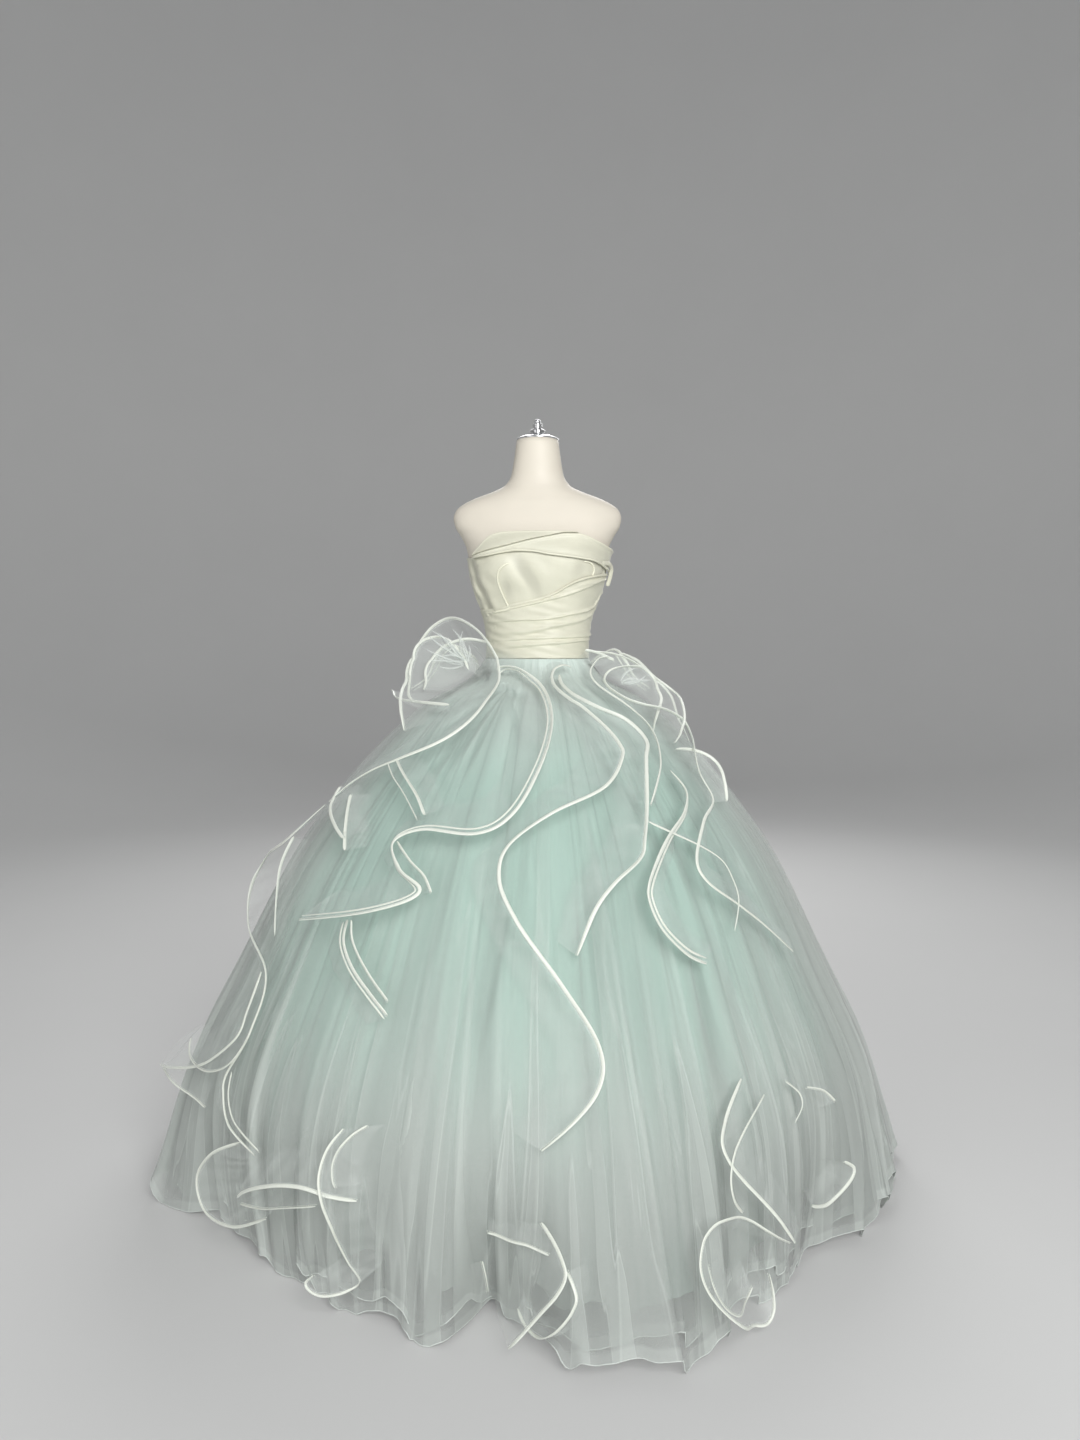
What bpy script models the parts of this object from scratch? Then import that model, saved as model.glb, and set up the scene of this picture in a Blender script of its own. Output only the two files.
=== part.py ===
"""Strapless ball gown on a limbless dress form, with its stand.

Metres, +Z up.  The origin is the centre of the stand's flat foot, on the
floor, and the gown's front faces -Y.  Angles round the body are in degrees,
0 at the front and positive towards +X.
"""
import math
from collections import namedtuple

import bmesh
import bpy
from mathutils import Vector
from mathutils.bvhtree import BVHTree

# ---- driving sizes -------------------------------------------------------
WAIST_HEIGHT = 1.121
NECK_TOP = 1.606
FORM_BOTTOM = 0.840
SEAM_GAP = 0.0004
WAIST_SEAM_GAP = 0.0005

BODICE_CLEARANCE = 0.0026
SATIN_THICKNESS = 0.0020
LAYER_GAP = 0.0017
CUFF_GAP = 0.0012
FOLD_RISE = 0.0028
TAB_FLARE = 0.0100

HEM_SHIFT = -0.023
SKIRT_THICKNESS = 0.0020
SKIRT_GORES = 6
PLEATS_PER_GORE = 6
POINTS_PER_PLEAT = 4
HEM_CLEARANCE = 0.005
HEM_WAVE = 0.008
HEM_ONSET = 4
MEAN_PLEAT_DEPTH = 0.78
ROUND_BELOW = 0.95
WAIST_OVAL = 0.78

ORGANZA_THICKNESS = 0.0014
LOWEST_SEAM_LIFT = -0.0120
HIGHEST_SEAM_LIFT = 0.0065
SEAM_CLEARANCE = 0.0003
SEAT_ROUNDS = 8
EDGE_RISE = 0.7
FLOUNCE_STEPS = 2
FLOUNCE_ACROSS = 2
BINDING_GAP = 0.0006
BINDING_WIDTH = 0.0080
MITRE_LIMIT = 0.35
BINDING_THICKNESS = 0.0030

POLE_RADIUS = 0.0125
BASE_RADIUS = 0.165
BASE_HEIGHT = 0.020
FORM_SIDES = 36
NARROWEST_COLUMN = 2
SHARP_EDGE = 50
CAP_SIDES = 14
BASE_SIDES = 24

# ---- tables: one row for each section or fold ----------------------------
BodySection = namedtuple("BodySection", "height half_width front back")
BODY = (
    BodySection(0.840, 0.140, 0.092, 0.100),
    BodySection(0.855, 0.155, 0.102, 0.113),
    BodySection(0.900, 0.165, 0.108, 0.124),
    BodySection(0.960, 0.160, 0.104, 0.120),
    BodySection(1.030, 0.138, 0.094, 0.100),
    BodySection(1.090, 0.114, 0.084, 0.083),
    BodySection(1.140, 0.109, 0.082, 0.080),
    BodySection(1.190, 0.112, 0.085, 0.083),
    BodySection(1.226, 0.121, 0.089, 0.087),
    BodySection(1.262, 0.134, 0.094, 0.091),
    BodySection(1.300, 0.146, 0.100, 0.095),
    BodySection(1.340, 0.153, 0.104, 0.098),
    BodySection(1.370, 0.160, 0.099, 0.100),
    BodySection(1.395, 0.172, 0.090, 0.096),
    BodySection(1.415, 0.184, 0.081, 0.089),
    BodySection(1.435, 0.188, 0.074, 0.081),
    BodySection(1.452, 0.182, 0.068, 0.074),
    BodySection(1.467, 0.163, 0.063, 0.068),
    BodySection(1.480, 0.135, 0.058, 0.063),
    BodySection(1.492, 0.102, 0.054, 0.058),
    BodySection(1.506, 0.074, 0.050, 0.054),
    BodySection(1.528, 0.059, 0.047, 0.050),
    BodySection(1.560, 0.053, 0.046, 0.047),
    BodySection(1.606, 0.0465, 0.0455, 0.0455),
)
BUST_ANGLE = 36.0
BUST_SPREAD = 24.0
BUST_HEIGHT = 1.315
BUST_TALL = 0.060
BUST_RISE = 0.018

SkirtRing = namedtuple("SkirtRing", "height radius pleat_depth")
SKIRT = (
    SkirtRing(1.121, 0.1165, 0.0015),
    SkirtRing(1.080, 0.149, 0.005),
    SkirtRing(1.030, 0.240, 0.008),
    SkirtRing(0.950, 0.330, 0.011),
    SkirtRing(0.850, 0.420, 0.014),
    SkirtRing(0.700, 0.530, 0.017),
    SkirtRing(0.500, 0.633, 0.020),
    SkirtRing(0.260, 0.742, 0.025),
    SkirtRing(0.000, 0.794, 0.032),
)

# The hem isn't round: its lobes reach out and in, from LOBE_TOP down to the floor.
HemLobe = namedtuple("HemLobe", "angle reach")
HEM_LOBES = (
    HemLobe(-180, 1.00), HemLobe(-150, 1.04), HemLobe(-125, 0.96), HemLobe(-95, 1.03),
    HemLobe(-69, 1.02), HemLobe(-60, 0.89), HemLobe(-45, 0.87), HemLobe(-30, 0.90),
    HemLobe(-17, 0.93), HemLobe(-10, 0.97), HemLobe(-5, 0.81), HemLobe(0, 0.91),
    HemLobe(6, 1.05), HemLobe(17, 1.09), HemLobe(23, 1.05), HemLobe(28, 0.95),
    HemLobe(36, 0.96), HemLobe(47, 0.90), HemLobe(57, 0.97), HemLobe(76, 1.03),
    HemLobe(93, 1.06), HemLobe(122, 0.97), HemLobe(150, 1.04), HemLobe(180, 1.00),
)
LOBE_TOP = 0.45
LOBE_CURVE = 1.6

Wave = namedtuple("Wave", "count size start")
PLEAT_WANDER = (Wave(3, 0.030, 0.7), Wave(7, 0.018, 2.1))
DEPTH_WANDER = (Wave(5, 0.22, 1.0),)
HEM_WANDER = (Wave(4, 0.6, 0.4), Wave(9, 0.4, 0.0))

NeckPoint = namedtuple("NeckPoint", "angle height")
BODICE_TOP = (
    NeckPoint(-180, 1.335), NeckPoint(-120, 1.345), NeckPoint(-80, 1.372),
    NeckPoint(-48, 1.390), NeckPoint(0, 1.393), NeckPoint(45, 1.390),
    NeckPoint(80, 1.370), NeckPoint(120, 1.345), NeckPoint(180, 1.335),
)
BandPoint = namedtuple("BandPoint", "angle low high")
UPPER_CUFF = (
    BandPoint(-74, 1.345, 1.381), BandPoint(-50, 1.352, 1.393),
    BandPoint(-15, 1.368, 1.397), BandPoint(25, 1.380, 1.397),
    BandPoint(50, 1.381, 1.392),
)
LOWER_CUFF = (
    BandPoint(-80, 1.339, 1.344), BandPoint(-55, 1.345, 1.362),
    BandPoint(-25, 1.353, 1.376), BandPoint(12, 1.346, 1.390),
    BandPoint(45, 1.337, 1.396), BandPoint(75, 1.322, 1.379),
    BandPoint(96, 1.312, 1.362),
)
TAB = (BandPoint(78, 1.276, 1.3198), BandPoint(93, 1.262, 1.3128))
DRAPE = (
    BandPoint(-91, 1.1218, 1.224), BandPoint(-40, 1.1218, 1.222),
    BandPoint(0, 1.1218, 1.248), BandPoint(40, 1.1218, 1.281),
    BandPoint(70, 1.1218, 1.300), BandPoint(91, 1.1218, 1.306),
)
DRAPE_FOLDS = 5

# How a band of satin stands out across its height, as shares of its full rise.
FoldPoint = namedtuple("FoldPoint", "share rise")
FLAT_BAND = (
    FoldPoint(0.0, 0.0), FoldPoint(0.12, 0.0), FoldPoint(0.55, 0.0), FoldPoint(0.9, 0.0), FoldPoint(1.0, 0.0),
)
FOLDED_BAND = (
    FoldPoint(0.0, 0.0), FoldPoint(0.12, 1.0), FoldPoint(0.55, 0.4), FoldPoint(0.9, 1.0), FoldPoint(1.0, 0.0),
)
FLARED_TAB = (FoldPoint(0.0, 1.0), FoldPoint(0.5, 0.5), FoldPoint(1.0, 0.0))
DRAPE_FOLD = (FoldPoint(0.10, 0.2), FoldPoint(0.85, 1.0))

Panel = namedtuple("Panel", "name start end")
BODICE_PANELS = (
    Panel("bodice_front", -40, 44),
    Panel("bodice_side_front_left", -92, -40),
    Panel("bodice_side_front_right", 44, 92),
    Panel("bodice_back_left", -177.6, -92),
    Panel("bodice_back_right", 92, 177.6),
    Panel("bodice_back_zip", 177.6, 182.4),
)
BODICE_ROWS = 8

# Each row of a flounce is one bend of its bound edge: where the edge is,
# how far it stands off the skirt, and where its seam is sewn down.
Bend = namedtuple("Bend", "angle height stand_off seam_angle seam_height")
FLOUNCES = {
    "left_crest": (
        Bend(-86, 0.980, 0.020, -82, 1.000), Bend(-84, 1.030, 0.065, -78, 1.036),
        Bend(-86, 1.100, 0.150, -75, 1.066), Bend(-86, 1.165, 0.145, -72, 1.085),
        Bend(-75, 1.205, 0.100, -66, 1.095), Bend(-45, 1.200, 0.090, -58, 1.100),
        Bend(-28, 1.140, 0.090, -50, 1.095), Bend(-20, 1.060, 0.080, -46, 1.080),
        Bend(-29, 0.980, 0.060, -46, 1.040), Bend(-43, 0.935, 0.050, -50, 0.990),
        Bend(-54.5, 0.886, 0.050, -57, 0.935), Bend(-60, 0.830, 0.050, -62, 0.890),
    ),
    "left_fall": (
        Bend(-61, 0.822, 0.050, -62.5, 0.880), Bend(-70, 0.740, 0.052, -70, 0.810),
        Bend(-82, 0.690, 0.055, -84, 0.760), Bend(-84, 0.635, 0.055, -94, 0.660),
        Bend(-70, 0.575, 0.035, -79, 0.565), Bend(-52, 0.526, 0.030, -61, 0.500),
        Bend(-48, 0.431, 0.035, -57, 0.430), Bend(-50.5, 0.321, 0.035, -59, 0.325),
        Bend(-49, 0.273, 0.022, -58.5, 0.261),
    ),
    "left_tip": (
        Bend(-65, 0.470, 0.020, -70, 0.490), Bend(-62.5, 0.398, 0.030, -71, 0.430),
        Bend(-65, 0.346, 0.040, -74, 0.385), Bend(-72, 0.291, 0.050, -77.5, 0.348),
        Bend(-79, 0.270, 0.060, -81, 0.325), Bend(-89, 0.294, 0.030, -87, 0.335),
    ),
    "left_hook": (
        Bend(-22, 1.100, 0.030, -18, 1.098), Bend(-10, 1.098, 0.050, -14, 1.085),
        Bend(1, 1.060, 0.060, -11, 1.060), Bend(4, 0.990, 0.060, -9, 1.020),
        Bend(1, 0.920, 0.055, -9, 0.950), Bend(-5, 0.840, 0.050, -12, 0.890),
        Bend(-12, 0.808, 0.050, -16, 0.862), Bend(-24, 0.810, 0.050, -22, 0.850),
        Bend(-30, 0.785, 0.050, -33, 0.815), Bend(-27, 0.740, 0.040, -35, 0.755),
        Bend(-21.5, 0.705, 0.035, -33, 0.722), Bend(-29, 0.672, 0.055, -35, 0.705),
        Bend(-44, 0.637, 0.060, -42, 0.690),
    ),
    "left_mid": (
        Bend(-36, 0.640, 0.020, -41, 0.625), Bend(-34, 0.610, 0.035, -41, 0.590),
        Bend(-30.5, 0.572, 0.035, -37, 0.550), Bend(-26, 0.535, 0.030, -32, 0.510),
        Bend(-22.5, 0.503, 0.020, -27, 0.475),
    ),
    "centre_fall": (
        Bend(28, 1.105, 0.030, 24, 1.113), Bend(12, 1.098, 0.045, 13, 1.113),
        Bend(8, 1.070, 0.050, 3, 1.085), Bend(15, 1.030, 0.050, 8, 1.040),
        Bend(24, 0.975, 0.055, 14, 0.985), Bend(24, 0.935, 0.060, 13, 0.930),
        Bend(16, 0.885, 0.055, 7, 0.895), Bend(4, 0.843, 0.050, 0, 0.865),
        Bend(-5, 0.790, 0.045, -9, 0.795), Bend(-6.5, 0.735, 0.040, -14, 0.740),
        Bend(-3, 0.670, 0.040, -10, 0.665), Bend(4.5, 0.570, 0.040, -3, 0.560),
        Bend(9.5, 0.480, 0.050, 2, 0.475), Bend(8.8, 0.410, 0.040, 2, 0.410),
        Bend(1.8, 0.327, 0.020, -3, 0.350),
    ),
    "right_inner": (
        Bend(24, 1.045, 0.030, 20, 1.030), Bend(29, 1.014, 0.040, 24, 1.005),
        Bend(34, 0.985, 0.055, 28, 0.975), Bend(33, 0.940, 0.060, 27, 0.935),
        Bend(28, 0.890, 0.060, 21.5, 0.895), Bend(23, 0.800, 0.060, 17, 0.805),
        Bend(21, 0.765, 0.055, 14, 0.775), Bend(15, 0.725, 0.045, 9, 0.740),
        Bend(11, 0.680, 0.030, 6, 0.695), Bend(7.5, 0.610, 0.020, 4, 0.630),
    ),
    "right_hook": (
        Bend(54, 1.118, 0.025, 50, 1.100), Bend(44, 1.100, 0.045, 49, 1.080),
        Bend(37, 1.070, 0.060, 46, 1.056), Bend(38, 1.030, 0.060, 43, 1.020),
        Bend(38, 0.985, 0.070, 42, 0.980), Bend(35, 0.935, 0.080, 40, 0.935),
        Bend(30, 0.895, 0.080, 37, 0.890), Bend(26.5, 0.850, 0.070, 33, 0.845),
    ),
    "right_sweep": (
        Bend(56, 1.085, 0.040, 66, 1.080), Bend(46, 1.050, 0.050, 60, 1.050),
        Bend(52, 1.022, 0.050, 60, 1.030), Bend(63, 0.993, 0.050, 68, 1.010),
        Bend(58, 0.950, 0.050, 66, 0.955), Bend(50, 0.890, 0.050, 57, 0.885),
        Bend(48, 0.840, 0.050, 55, 0.830), Bend(41, 0.810, 0.050, 46, 0.785),
        Bend(34.5, 0.755, 0.050, 42, 0.745), Bend(34.5, 0.715, 0.050, 42, 0.720),
        Bend(41, 0.665, 0.040, 46, 0.695), Bend(46.5, 0.620, 0.035, 51, 0.650),
        Bend(53, 0.558, 0.030, 57, 0.585),
    ),
    "right_fall": (
        Bend(41, 0.900, 0.035, 44.5, 0.895), Bend(41, 0.865, 0.045, 45, 0.860),
        Bend(36.5, 0.830, 0.050, 41, 0.815), Bend(30, 0.795, 0.050, 35, 0.780),
        Bend(25.5, 0.760, 0.050, 32, 0.748), Bend(22, 0.720, 0.050, 29, 0.717),
        Bend(21.5, 0.690, 0.045, 28, 0.695), Bend(23, 0.645, 0.040, 29.5, 0.655),
        Bend(27, 0.600, 0.030, 32, 0.620), Bend(31, 0.577, 0.020, 35, 0.600),
    ),
    "right_side": (
        Bend(58, 1.140, 0.055, 74, 1.105), Bend(78, 1.125, 0.100, 76, 1.090),
        Bend(88, 1.075, 0.120, 79, 1.070), Bend(88, 1.030, 0.070, 80, 1.040),
        Bend(84, 0.985, 0.040, 77, 1.000), Bend(81, 0.955, 0.038, 74, 0.967),
        Bend(84, 0.930, 0.036, 76, 0.935), Bend(90, 0.900, 0.034, 81, 0.900),
        Bend(84, 0.840, 0.024, 76, 0.850), Bend(89, 0.775, 0.020, 80, 0.780),
        Bend(103, 0.710, 0.022, 95, 0.725), Bend(107, 0.630, 0.024, 99, 0.640),
        Bend(98, 0.550, 0.024, 90, 0.560), Bend(94, 0.470, 0.024, 86, 0.475),
        Bend(104, 0.400, 0.020, 97, 0.410),
    ),
    "right_low_fall": (
        Bend(31.5, 0.386, 0.020, 34, 0.389), Bend(27, 0.352, 0.040, 32.5, 0.358),
        Bend(25, 0.320, 0.050, 32.5, 0.327), Bend(26.3, 0.287, 0.050, 32.5, 0.296),
        Bend(29.6, 0.230, 0.050, 34, 0.252), Bend(33, 0.174, 0.050, 36.5, 0.207),
        Bend(35.7, 0.124, 0.045, 39.7, 0.157),
    ),
    "right_low_loop": (
        Bend(30.5, 0.164, 0.045, 29.5, 0.142), Bend(25.3, 0.208, 0.050, 27.8, 0.149),
        Bend(20.6, 0.201, 0.050, 25.8, 0.147), Bend(19.5, 0.164, 0.050, 25.0, 0.132),
        Bend(20.2, 0.119, 0.055, 25.6, 0.112), Bend(22.8, 0.081, 0.065, 26.8, 0.098),
        Bend(28.0, 0.034, 0.085, 28.4, 0.090), Bend(30.0, 0.062, 0.080, 30.0, 0.095),
    ),
    "left_low_loop": (
        Bend(-45.4, 0.236, 0.020, -41, 0.238), Bend(-51, 0.195, 0.040, -42.6, 0.214),
        Bend(-55.3, 0.128, 0.050, -44.8, 0.180), Bend(-53.5, 0.076, 0.052, -44.0, 0.160),
        Bend(-45.0, 0.090, 0.050, -40.6, 0.153), Bend(-36.8, 0.144, 0.040, -36.3, 0.171),
    ),
    "left_low_band": (
        Bend(-38, 0.195, 0.045, -37.8, 0.259), Bend(-32.8, 0.225, 0.050, -34.2, 0.275),
        Bend(-28.3, 0.241, 0.052, -31, 0.282), Bend(-24.5, 0.238, 0.055, -29, 0.277),
    ),
    "left_low_fall": (
        Bend(-24.4, 0.331, 0.012, -20.3, 0.337), Bend(-26, 0.304, 0.018, -20.4, 0.305),
        Bend(-26.3, 0.261, 0.018, -20, 0.273), Bend(-26.1, 0.220, 0.020, -19.8, 0.239),
        Bend(-24, 0.157, 0.030, -19.6, 0.183), Bend(-26.8, 0.092, 0.042, -20.3, 0.136),
        Bend(-27.2, 0.060, 0.055, -20.2, 0.107), Bend(-22.2, 0.058, 0.050, -18.2, 0.098),
    ),
    "centre_low_fall": (
        Bend(1.9, 0.214, 0.015, -2.2, 0.200), Bend(4, 0.184, 0.050, -1.8, 0.166),
        Bend(2.6, 0.131, 0.065, -1.8, 0.125), Bend(0, 0.080, 0.080, -3.2, 0.085),
        Bend(-1.6, 0.034, 0.100, -4.6, 0.050),
    ),
    "centre_low_loop": (
        Bend(5.2, 0.170, 0.020, 7.7, 0.174), Bend(5.7, 0.127, 0.035, 7.9, 0.135),
        Bend(4.6, 0.088, 0.035, 7, 0.095), Bend(3.3, 0.049, 0.030, 5.8, 0.058),
    ),
    "back_left": (
        Bend(-100, 1.050, 0.090, -112, 1.060), Bend(-104, 1.120, 0.120, -116, 1.085),
        Bend(-124, 1.150, 0.120, -121, 1.098), Bend(-142, 1.100, 0.100, -126, 1.070),
        Bend(-141, 1.020, 0.070, -128, 1.030), Bend(-134, 0.950, 0.050, -124, 0.950),
        Bend(-128, 0.860, 0.050, -119, 0.865), Bend(-134, 0.770, 0.050, -125, 0.780),
        Bend(-146, 0.700, 0.050, -136, 0.710), Bend(-149, 0.600, 0.050, -139, 0.600),
        Bend(-140, 0.520, 0.050, -131, 0.510), Bend(-132, 0.420, 0.050, -124, 0.415),
        Bend(-138, 0.330, 0.040, -130, 0.340), Bend(-149, 0.260, 0.030, -141, 0.275),
    ),
    "back_right": (
        Bend(112, 1.050, 0.080, 120, 1.060), Bend(114, 1.110, 0.100, 124, 1.085),
        Bend(130, 1.140, 0.110, 128, 1.098), Bend(150, 1.090, 0.100, 132, 1.070),
        Bend(150, 1.010, 0.070, 137, 1.020), Bend(142, 0.930, 0.050, 132, 0.935),
        Bend(134, 0.850, 0.050, 125, 0.855), Bend(139, 0.760, 0.050, 130, 0.765),
        Bend(150, 0.680, 0.050, 141, 0.690), Bend(155, 0.590, 0.050, 146, 0.590),
        Bend(147, 0.500, 0.050, 138, 0.495), Bend(138, 0.410, 0.050, 130, 0.405),
        Bend(143, 0.320, 0.040, 135, 0.330), Bend(154, 0.250, 0.030, 146, 0.265),
    ),
}

ProfilePoint = namedtuple("ProfilePoint", "radius height")
CAP_PROFILE = (
    ProfilePoint(0.0470, 0.0000), ProfilePoint(0.0470, 0.0040),
    ProfilePoint(0.0400, 0.0080), ProfilePoint(0.0230, 0.0120),
    ProfilePoint(0.0150, 0.0150), ProfilePoint(0.0120, 0.0180),
    ProfilePoint(0.0175, 0.0210), ProfilePoint(0.0120, 0.0245),
    ProfilePoint(0.0085, 0.0275), ProfilePoint(0.0110, 0.0320),
    ProfilePoint(0.0110, 0.0360), ProfilePoint(0.0070, 0.0390),
    ProfilePoint(0.0080, 0.0430), ProfilePoint(0.0045, 0.0475),
)
BASE_PROFILE = (
    ProfilePoint(BASE_RADIUS, 0.0000), ProfilePoint(BASE_RADIUS, 0.0080),
    ProfilePoint(BASE_RADIUS - 0.010, 0.0130), ProfilePoint(0.060, 0.0165),
    ProfilePoint(0.024, BASE_HEIGHT), ProfilePoint(0.022, 0.034),
)


# ---- reading the tables --------------------------------------------------
def slopes(keys, values):
    """Monotone slopes, so that a curve through a table never overshoots."""
    steps = [(values[i + 1] - values[i]) / (keys[i + 1] - keys[i]) for i in range(len(keys) - 1)]
    result = [steps[0]]
    for before, after in zip(steps, steps[1:]):
        result.append(0.0 if before * after <= 0 else 2 * before * after / (before + after))
    return result + [steps[-1]]


def read_table(rows, key_name, column, key):
    """The smooth value of one column of a table at a key."""
    ordered = sorted(rows, key=lambda row: getattr(row, key_name))
    keys = [getattr(row, key_name) for row in ordered]
    values = [getattr(row, column) for row in ordered]
    if key <= keys[0]:
        return values[0]
    if key >= keys[-1]:
        return values[-1]
    i = max(n for n in range(len(keys) - 1) if keys[n] <= key)
    span = keys[i + 1] - keys[i]
    t = (key - keys[i]) / span
    tangents = slopes(keys, values)
    return ((2 * t ** 3 - 3 * t ** 2 + 1) * values[i] + (t ** 3 - 2 * t ** 2 + t) * span * tangents[i]
            + (3 * t ** 2 - 2 * t ** 3) * values[i + 1] + (t ** 3 - t ** 2) * span * tangents[i + 1])


def spline_rows(rows, steps):
    """Rows read along a smooth curve through a table, steps to each bend."""
    result = []
    last = len(rows) - 1
    for i in range(last):
        before, start, end, after = rows[max(i - 1, 0)], rows[i], rows[i + 1], rows[min(i + 2, last)]
        for step in range(steps):
            t = step / steps
            result.append(type(start)(*(
                0.5 * (2 * b + (c - a) * t + (2 * a - 5 * b + 4 * c - d) * t ** 2
                       + (3 * b - 3 * c + d - a) * t ** 3)
                for a, b, c, d in zip(before, start, end, after))))
    return result + [rows[-1]]


def columns(start, end):
    """Angles from start to end, on the dress form's own sides in between."""
    step = 360 / FORM_SIDES
    first = math.ceil((start + NARROWEST_COLUMN) / step)
    last = math.floor((end - NARROWEST_COLUMN) / step)
    return [start] + [step * i for i in range(first, last + 1)] + [end]


def spread(start, end, count):
    """Evenly spaced values from start to end, count steps."""
    return [start + (end - start) * i / count for i in range(count + 1)]


# ---- the two surfaces everything is laid out on --------------------------
def bust(angle, height):
    """How far the bust stands forward of the plain torso."""
    tall = math.exp(-((height - BUST_HEIGHT) / BUST_TALL) ** 2)
    wide = sum(math.exp(-((angle - side * BUST_ANGLE) / BUST_SPREAD) ** 2) for side in (-1, 1))
    return BUST_RISE * tall * wide


def body_point(angle, height, out):
    """A point on the dress form, moved outwards by out."""
    wrapped = (angle + 180) % 360 - 180
    turn = math.radians(wrapped)
    width = read_table(BODY, "height", "half_width", height)
    depth = read_table(BODY, "height", "front" if abs(wrapped) < 90 else "back", height)
    normal = Vector((math.sin(turn) / width, -math.cos(turn) / depth, 0)).normalized()
    base = Vector((width * math.sin(turn), -depth * math.cos(turn), height))
    return base + normal * (out + bust(wrapped, height))


def wander(waves, turn):
    """A slow change round the skirt, so that its pleats aren't all alike."""
    return sum(wave.size * math.sin(wave.count * turn + wave.start) for wave in waves)


def skirt_radius(height):
    """Radius of the skirt's outer envelope, straight from ring to ring."""
    if height >= SKIRT[0].height:
        return SKIRT[0].radius
    upper, lower = next(pair for pair in zip(SKIRT, SKIRT[1:]) if pair[1].height <= max(height, 0.0))
    share = (upper.height - max(height, 0.0)) / (upper.height - lower.height)
    return upper.radius + (lower.radius - upper.radius) * share


def hem_reach(angle, height):
    """The share of its radius that the skirt has at an angle, where the hem's lobes shape it."""
    strength = max(1 - max(height, 0.0) / LOBE_TOP, 0.0) ** LOBE_CURVE
    return 1 + (read_table(HEM_LOBES, "angle", "reach", (angle + 180) % 360 - 180) - 1) * strength


def skirt_place(angle, height, out):
    """A point over the skirt, whose axis leans a little at the hem, moved outwards by out."""
    turn = math.radians(angle)
    radius = skirt_radius(height) * hem_reach(angle, height) + out
    rise = min(max((height - ROUND_BELOW) / (WAIST_HEIGHT - ROUND_BELOW), 0), 1)
    oval = 1 + (WAIST_OVAL - 1) * rise
    centre = HEM_SHIFT * (1 - min(height / WAIST_HEIGHT, 1))
    return Vector((centre + radius * math.sin(turn), -radius * oval * math.cos(turn), height))


def skirt_point(angle, height, out):
    """A point on the pleated skirt, moved outwards by out."""
    turn = math.radians(angle)
    pleat_turn = SKIRT_GORES * PLEATS_PER_GORE * (turn + wander(PLEAT_WANDER, turn))
    depth = read_table(SKIRT, "height", "pleat_depth", height)
    depth *= MEAN_PLEAT_DEPTH + wander(DEPTH_WANDER, turn)
    dip = depth * (1 - math.cos(pleat_turn)) / 2
    return skirt_place(angle, height, out - dip)


def hem_height(angle):
    """The hem hangs just off the floor and rises and falls a little."""
    return HEM_CLEARANCE + HEM_WAVE * (1 + wander(HEM_WANDER, math.radians(angle)))


# ---- solids --------------------------------------------------------------
def finish(name, mesh, material):
    """Link a finished bmesh as an object, its faces pointing out."""
    if mesh.calc_volume(signed=True) < 0:
        bmesh.ops.reverse_faces(mesh, faces=mesh.faces)
    data = bpy.data.meshes.new(name)
    mesh.to_mesh(data)
    mesh.free()
    data.materials.append(material)
    data.shade_smooth()
    data.set_sharp_from_angle(angle=math.radians(SHARP_EDGE))
    piece = bpy.data.objects.new(name, data)
    bpy.context.collection.objects.link(piece)
    return piece


def skin_faces(rows, columns, first=0):
    """Triangles over a grid of points numbered row by row."""
    faces = []
    for r in range(rows - 1):
        for c in range(columns - 1):
            a = first + r * columns + c
            faces += [(a, a + 1, a + columns + 1), (a, a + columns + 1, a + columns)]
    return faces


def wall(name, outer, inner, material):
    """A closed wall between two grids of points, split the same way on both."""
    mesh = bmesh.new()
    rows, columns = len(outer), len(outer[0])
    skins = [[[mesh.verts.new(point) for point in row] for row in grid] for grid in (outer, inner)]
    for skin, order in zip(skins, (1, -1)):
        points = [point for row in skin for point in row]
        for face in skin_faces(rows, columns):
            mesh.faces.new([points[i] for i in face][::order])
    rim = ([(0, c) for c in range(columns)] + [(r, columns - 1) for r in range(1, rows)]
           + [(rows - 1, c) for c in range(columns - 2, -1, -1)] + [(r, 0) for r in range(rows - 2, 0, -1)])
    for (r, c), (s, d) in zip(rim, rim[1:] + rim[:1]):
        a, b, e, f = skins[0][r][c], skins[0][s][d], skins[1][s][d], skins[1][r][c]
        mesh.faces.new((b, a, f))
        mesh.faces.new((b, f, e))
    return finish(name, mesh, material)


def grid_normals(grid):
    """The unit normal at each point of a grid of points."""
    rows, columns = len(grid), len(grid[0])
    result = []
    for r in range(rows):
        line = []
        for c in range(columns):
            down = grid[min(r + 1, rows - 1)][c] - grid[max(r - 1, 0)][c]
            across = grid[r][min(c + 1, columns - 1)] - grid[r][max(c - 1, 0)]
            line.append(across.cross(down).normalized())
        result.append(line)
    return result


def loft(name, rings, material):
    """A closed solid through rings of points, with a flat cap at each end."""
    mesh = bmesh.new()
    loops = [[mesh.verts.new(point) for point in ring] for ring in rings]
    for low, high in zip(loops, loops[1:]):
        for i in range(len(low)):
            j = (i + 1) % len(low)
            mesh.faces.new((low[i], low[j], high[j]))
            mesh.faces.new((low[i], high[j], high[i]))
    mesh.faces.new(loops[0][::-1])
    mesh.faces.new(loops[-1])
    bmesh.ops.triangulate(mesh, faces=[face for face in mesh.faces if len(face.verts) > 4])
    return finish(name, mesh, material)


def turned(name, profile, foot, sides, material):
    """A turned solid from a profile of radii and heights above its foot."""
    rings = [[Vector((row.radius * math.cos(turn), row.radius * math.sin(turn), foot + row.height))
              for turn in (2 * math.pi * i / sides for i in range(sides))] for row in profile]
    return loft(name, rings, material)


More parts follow.
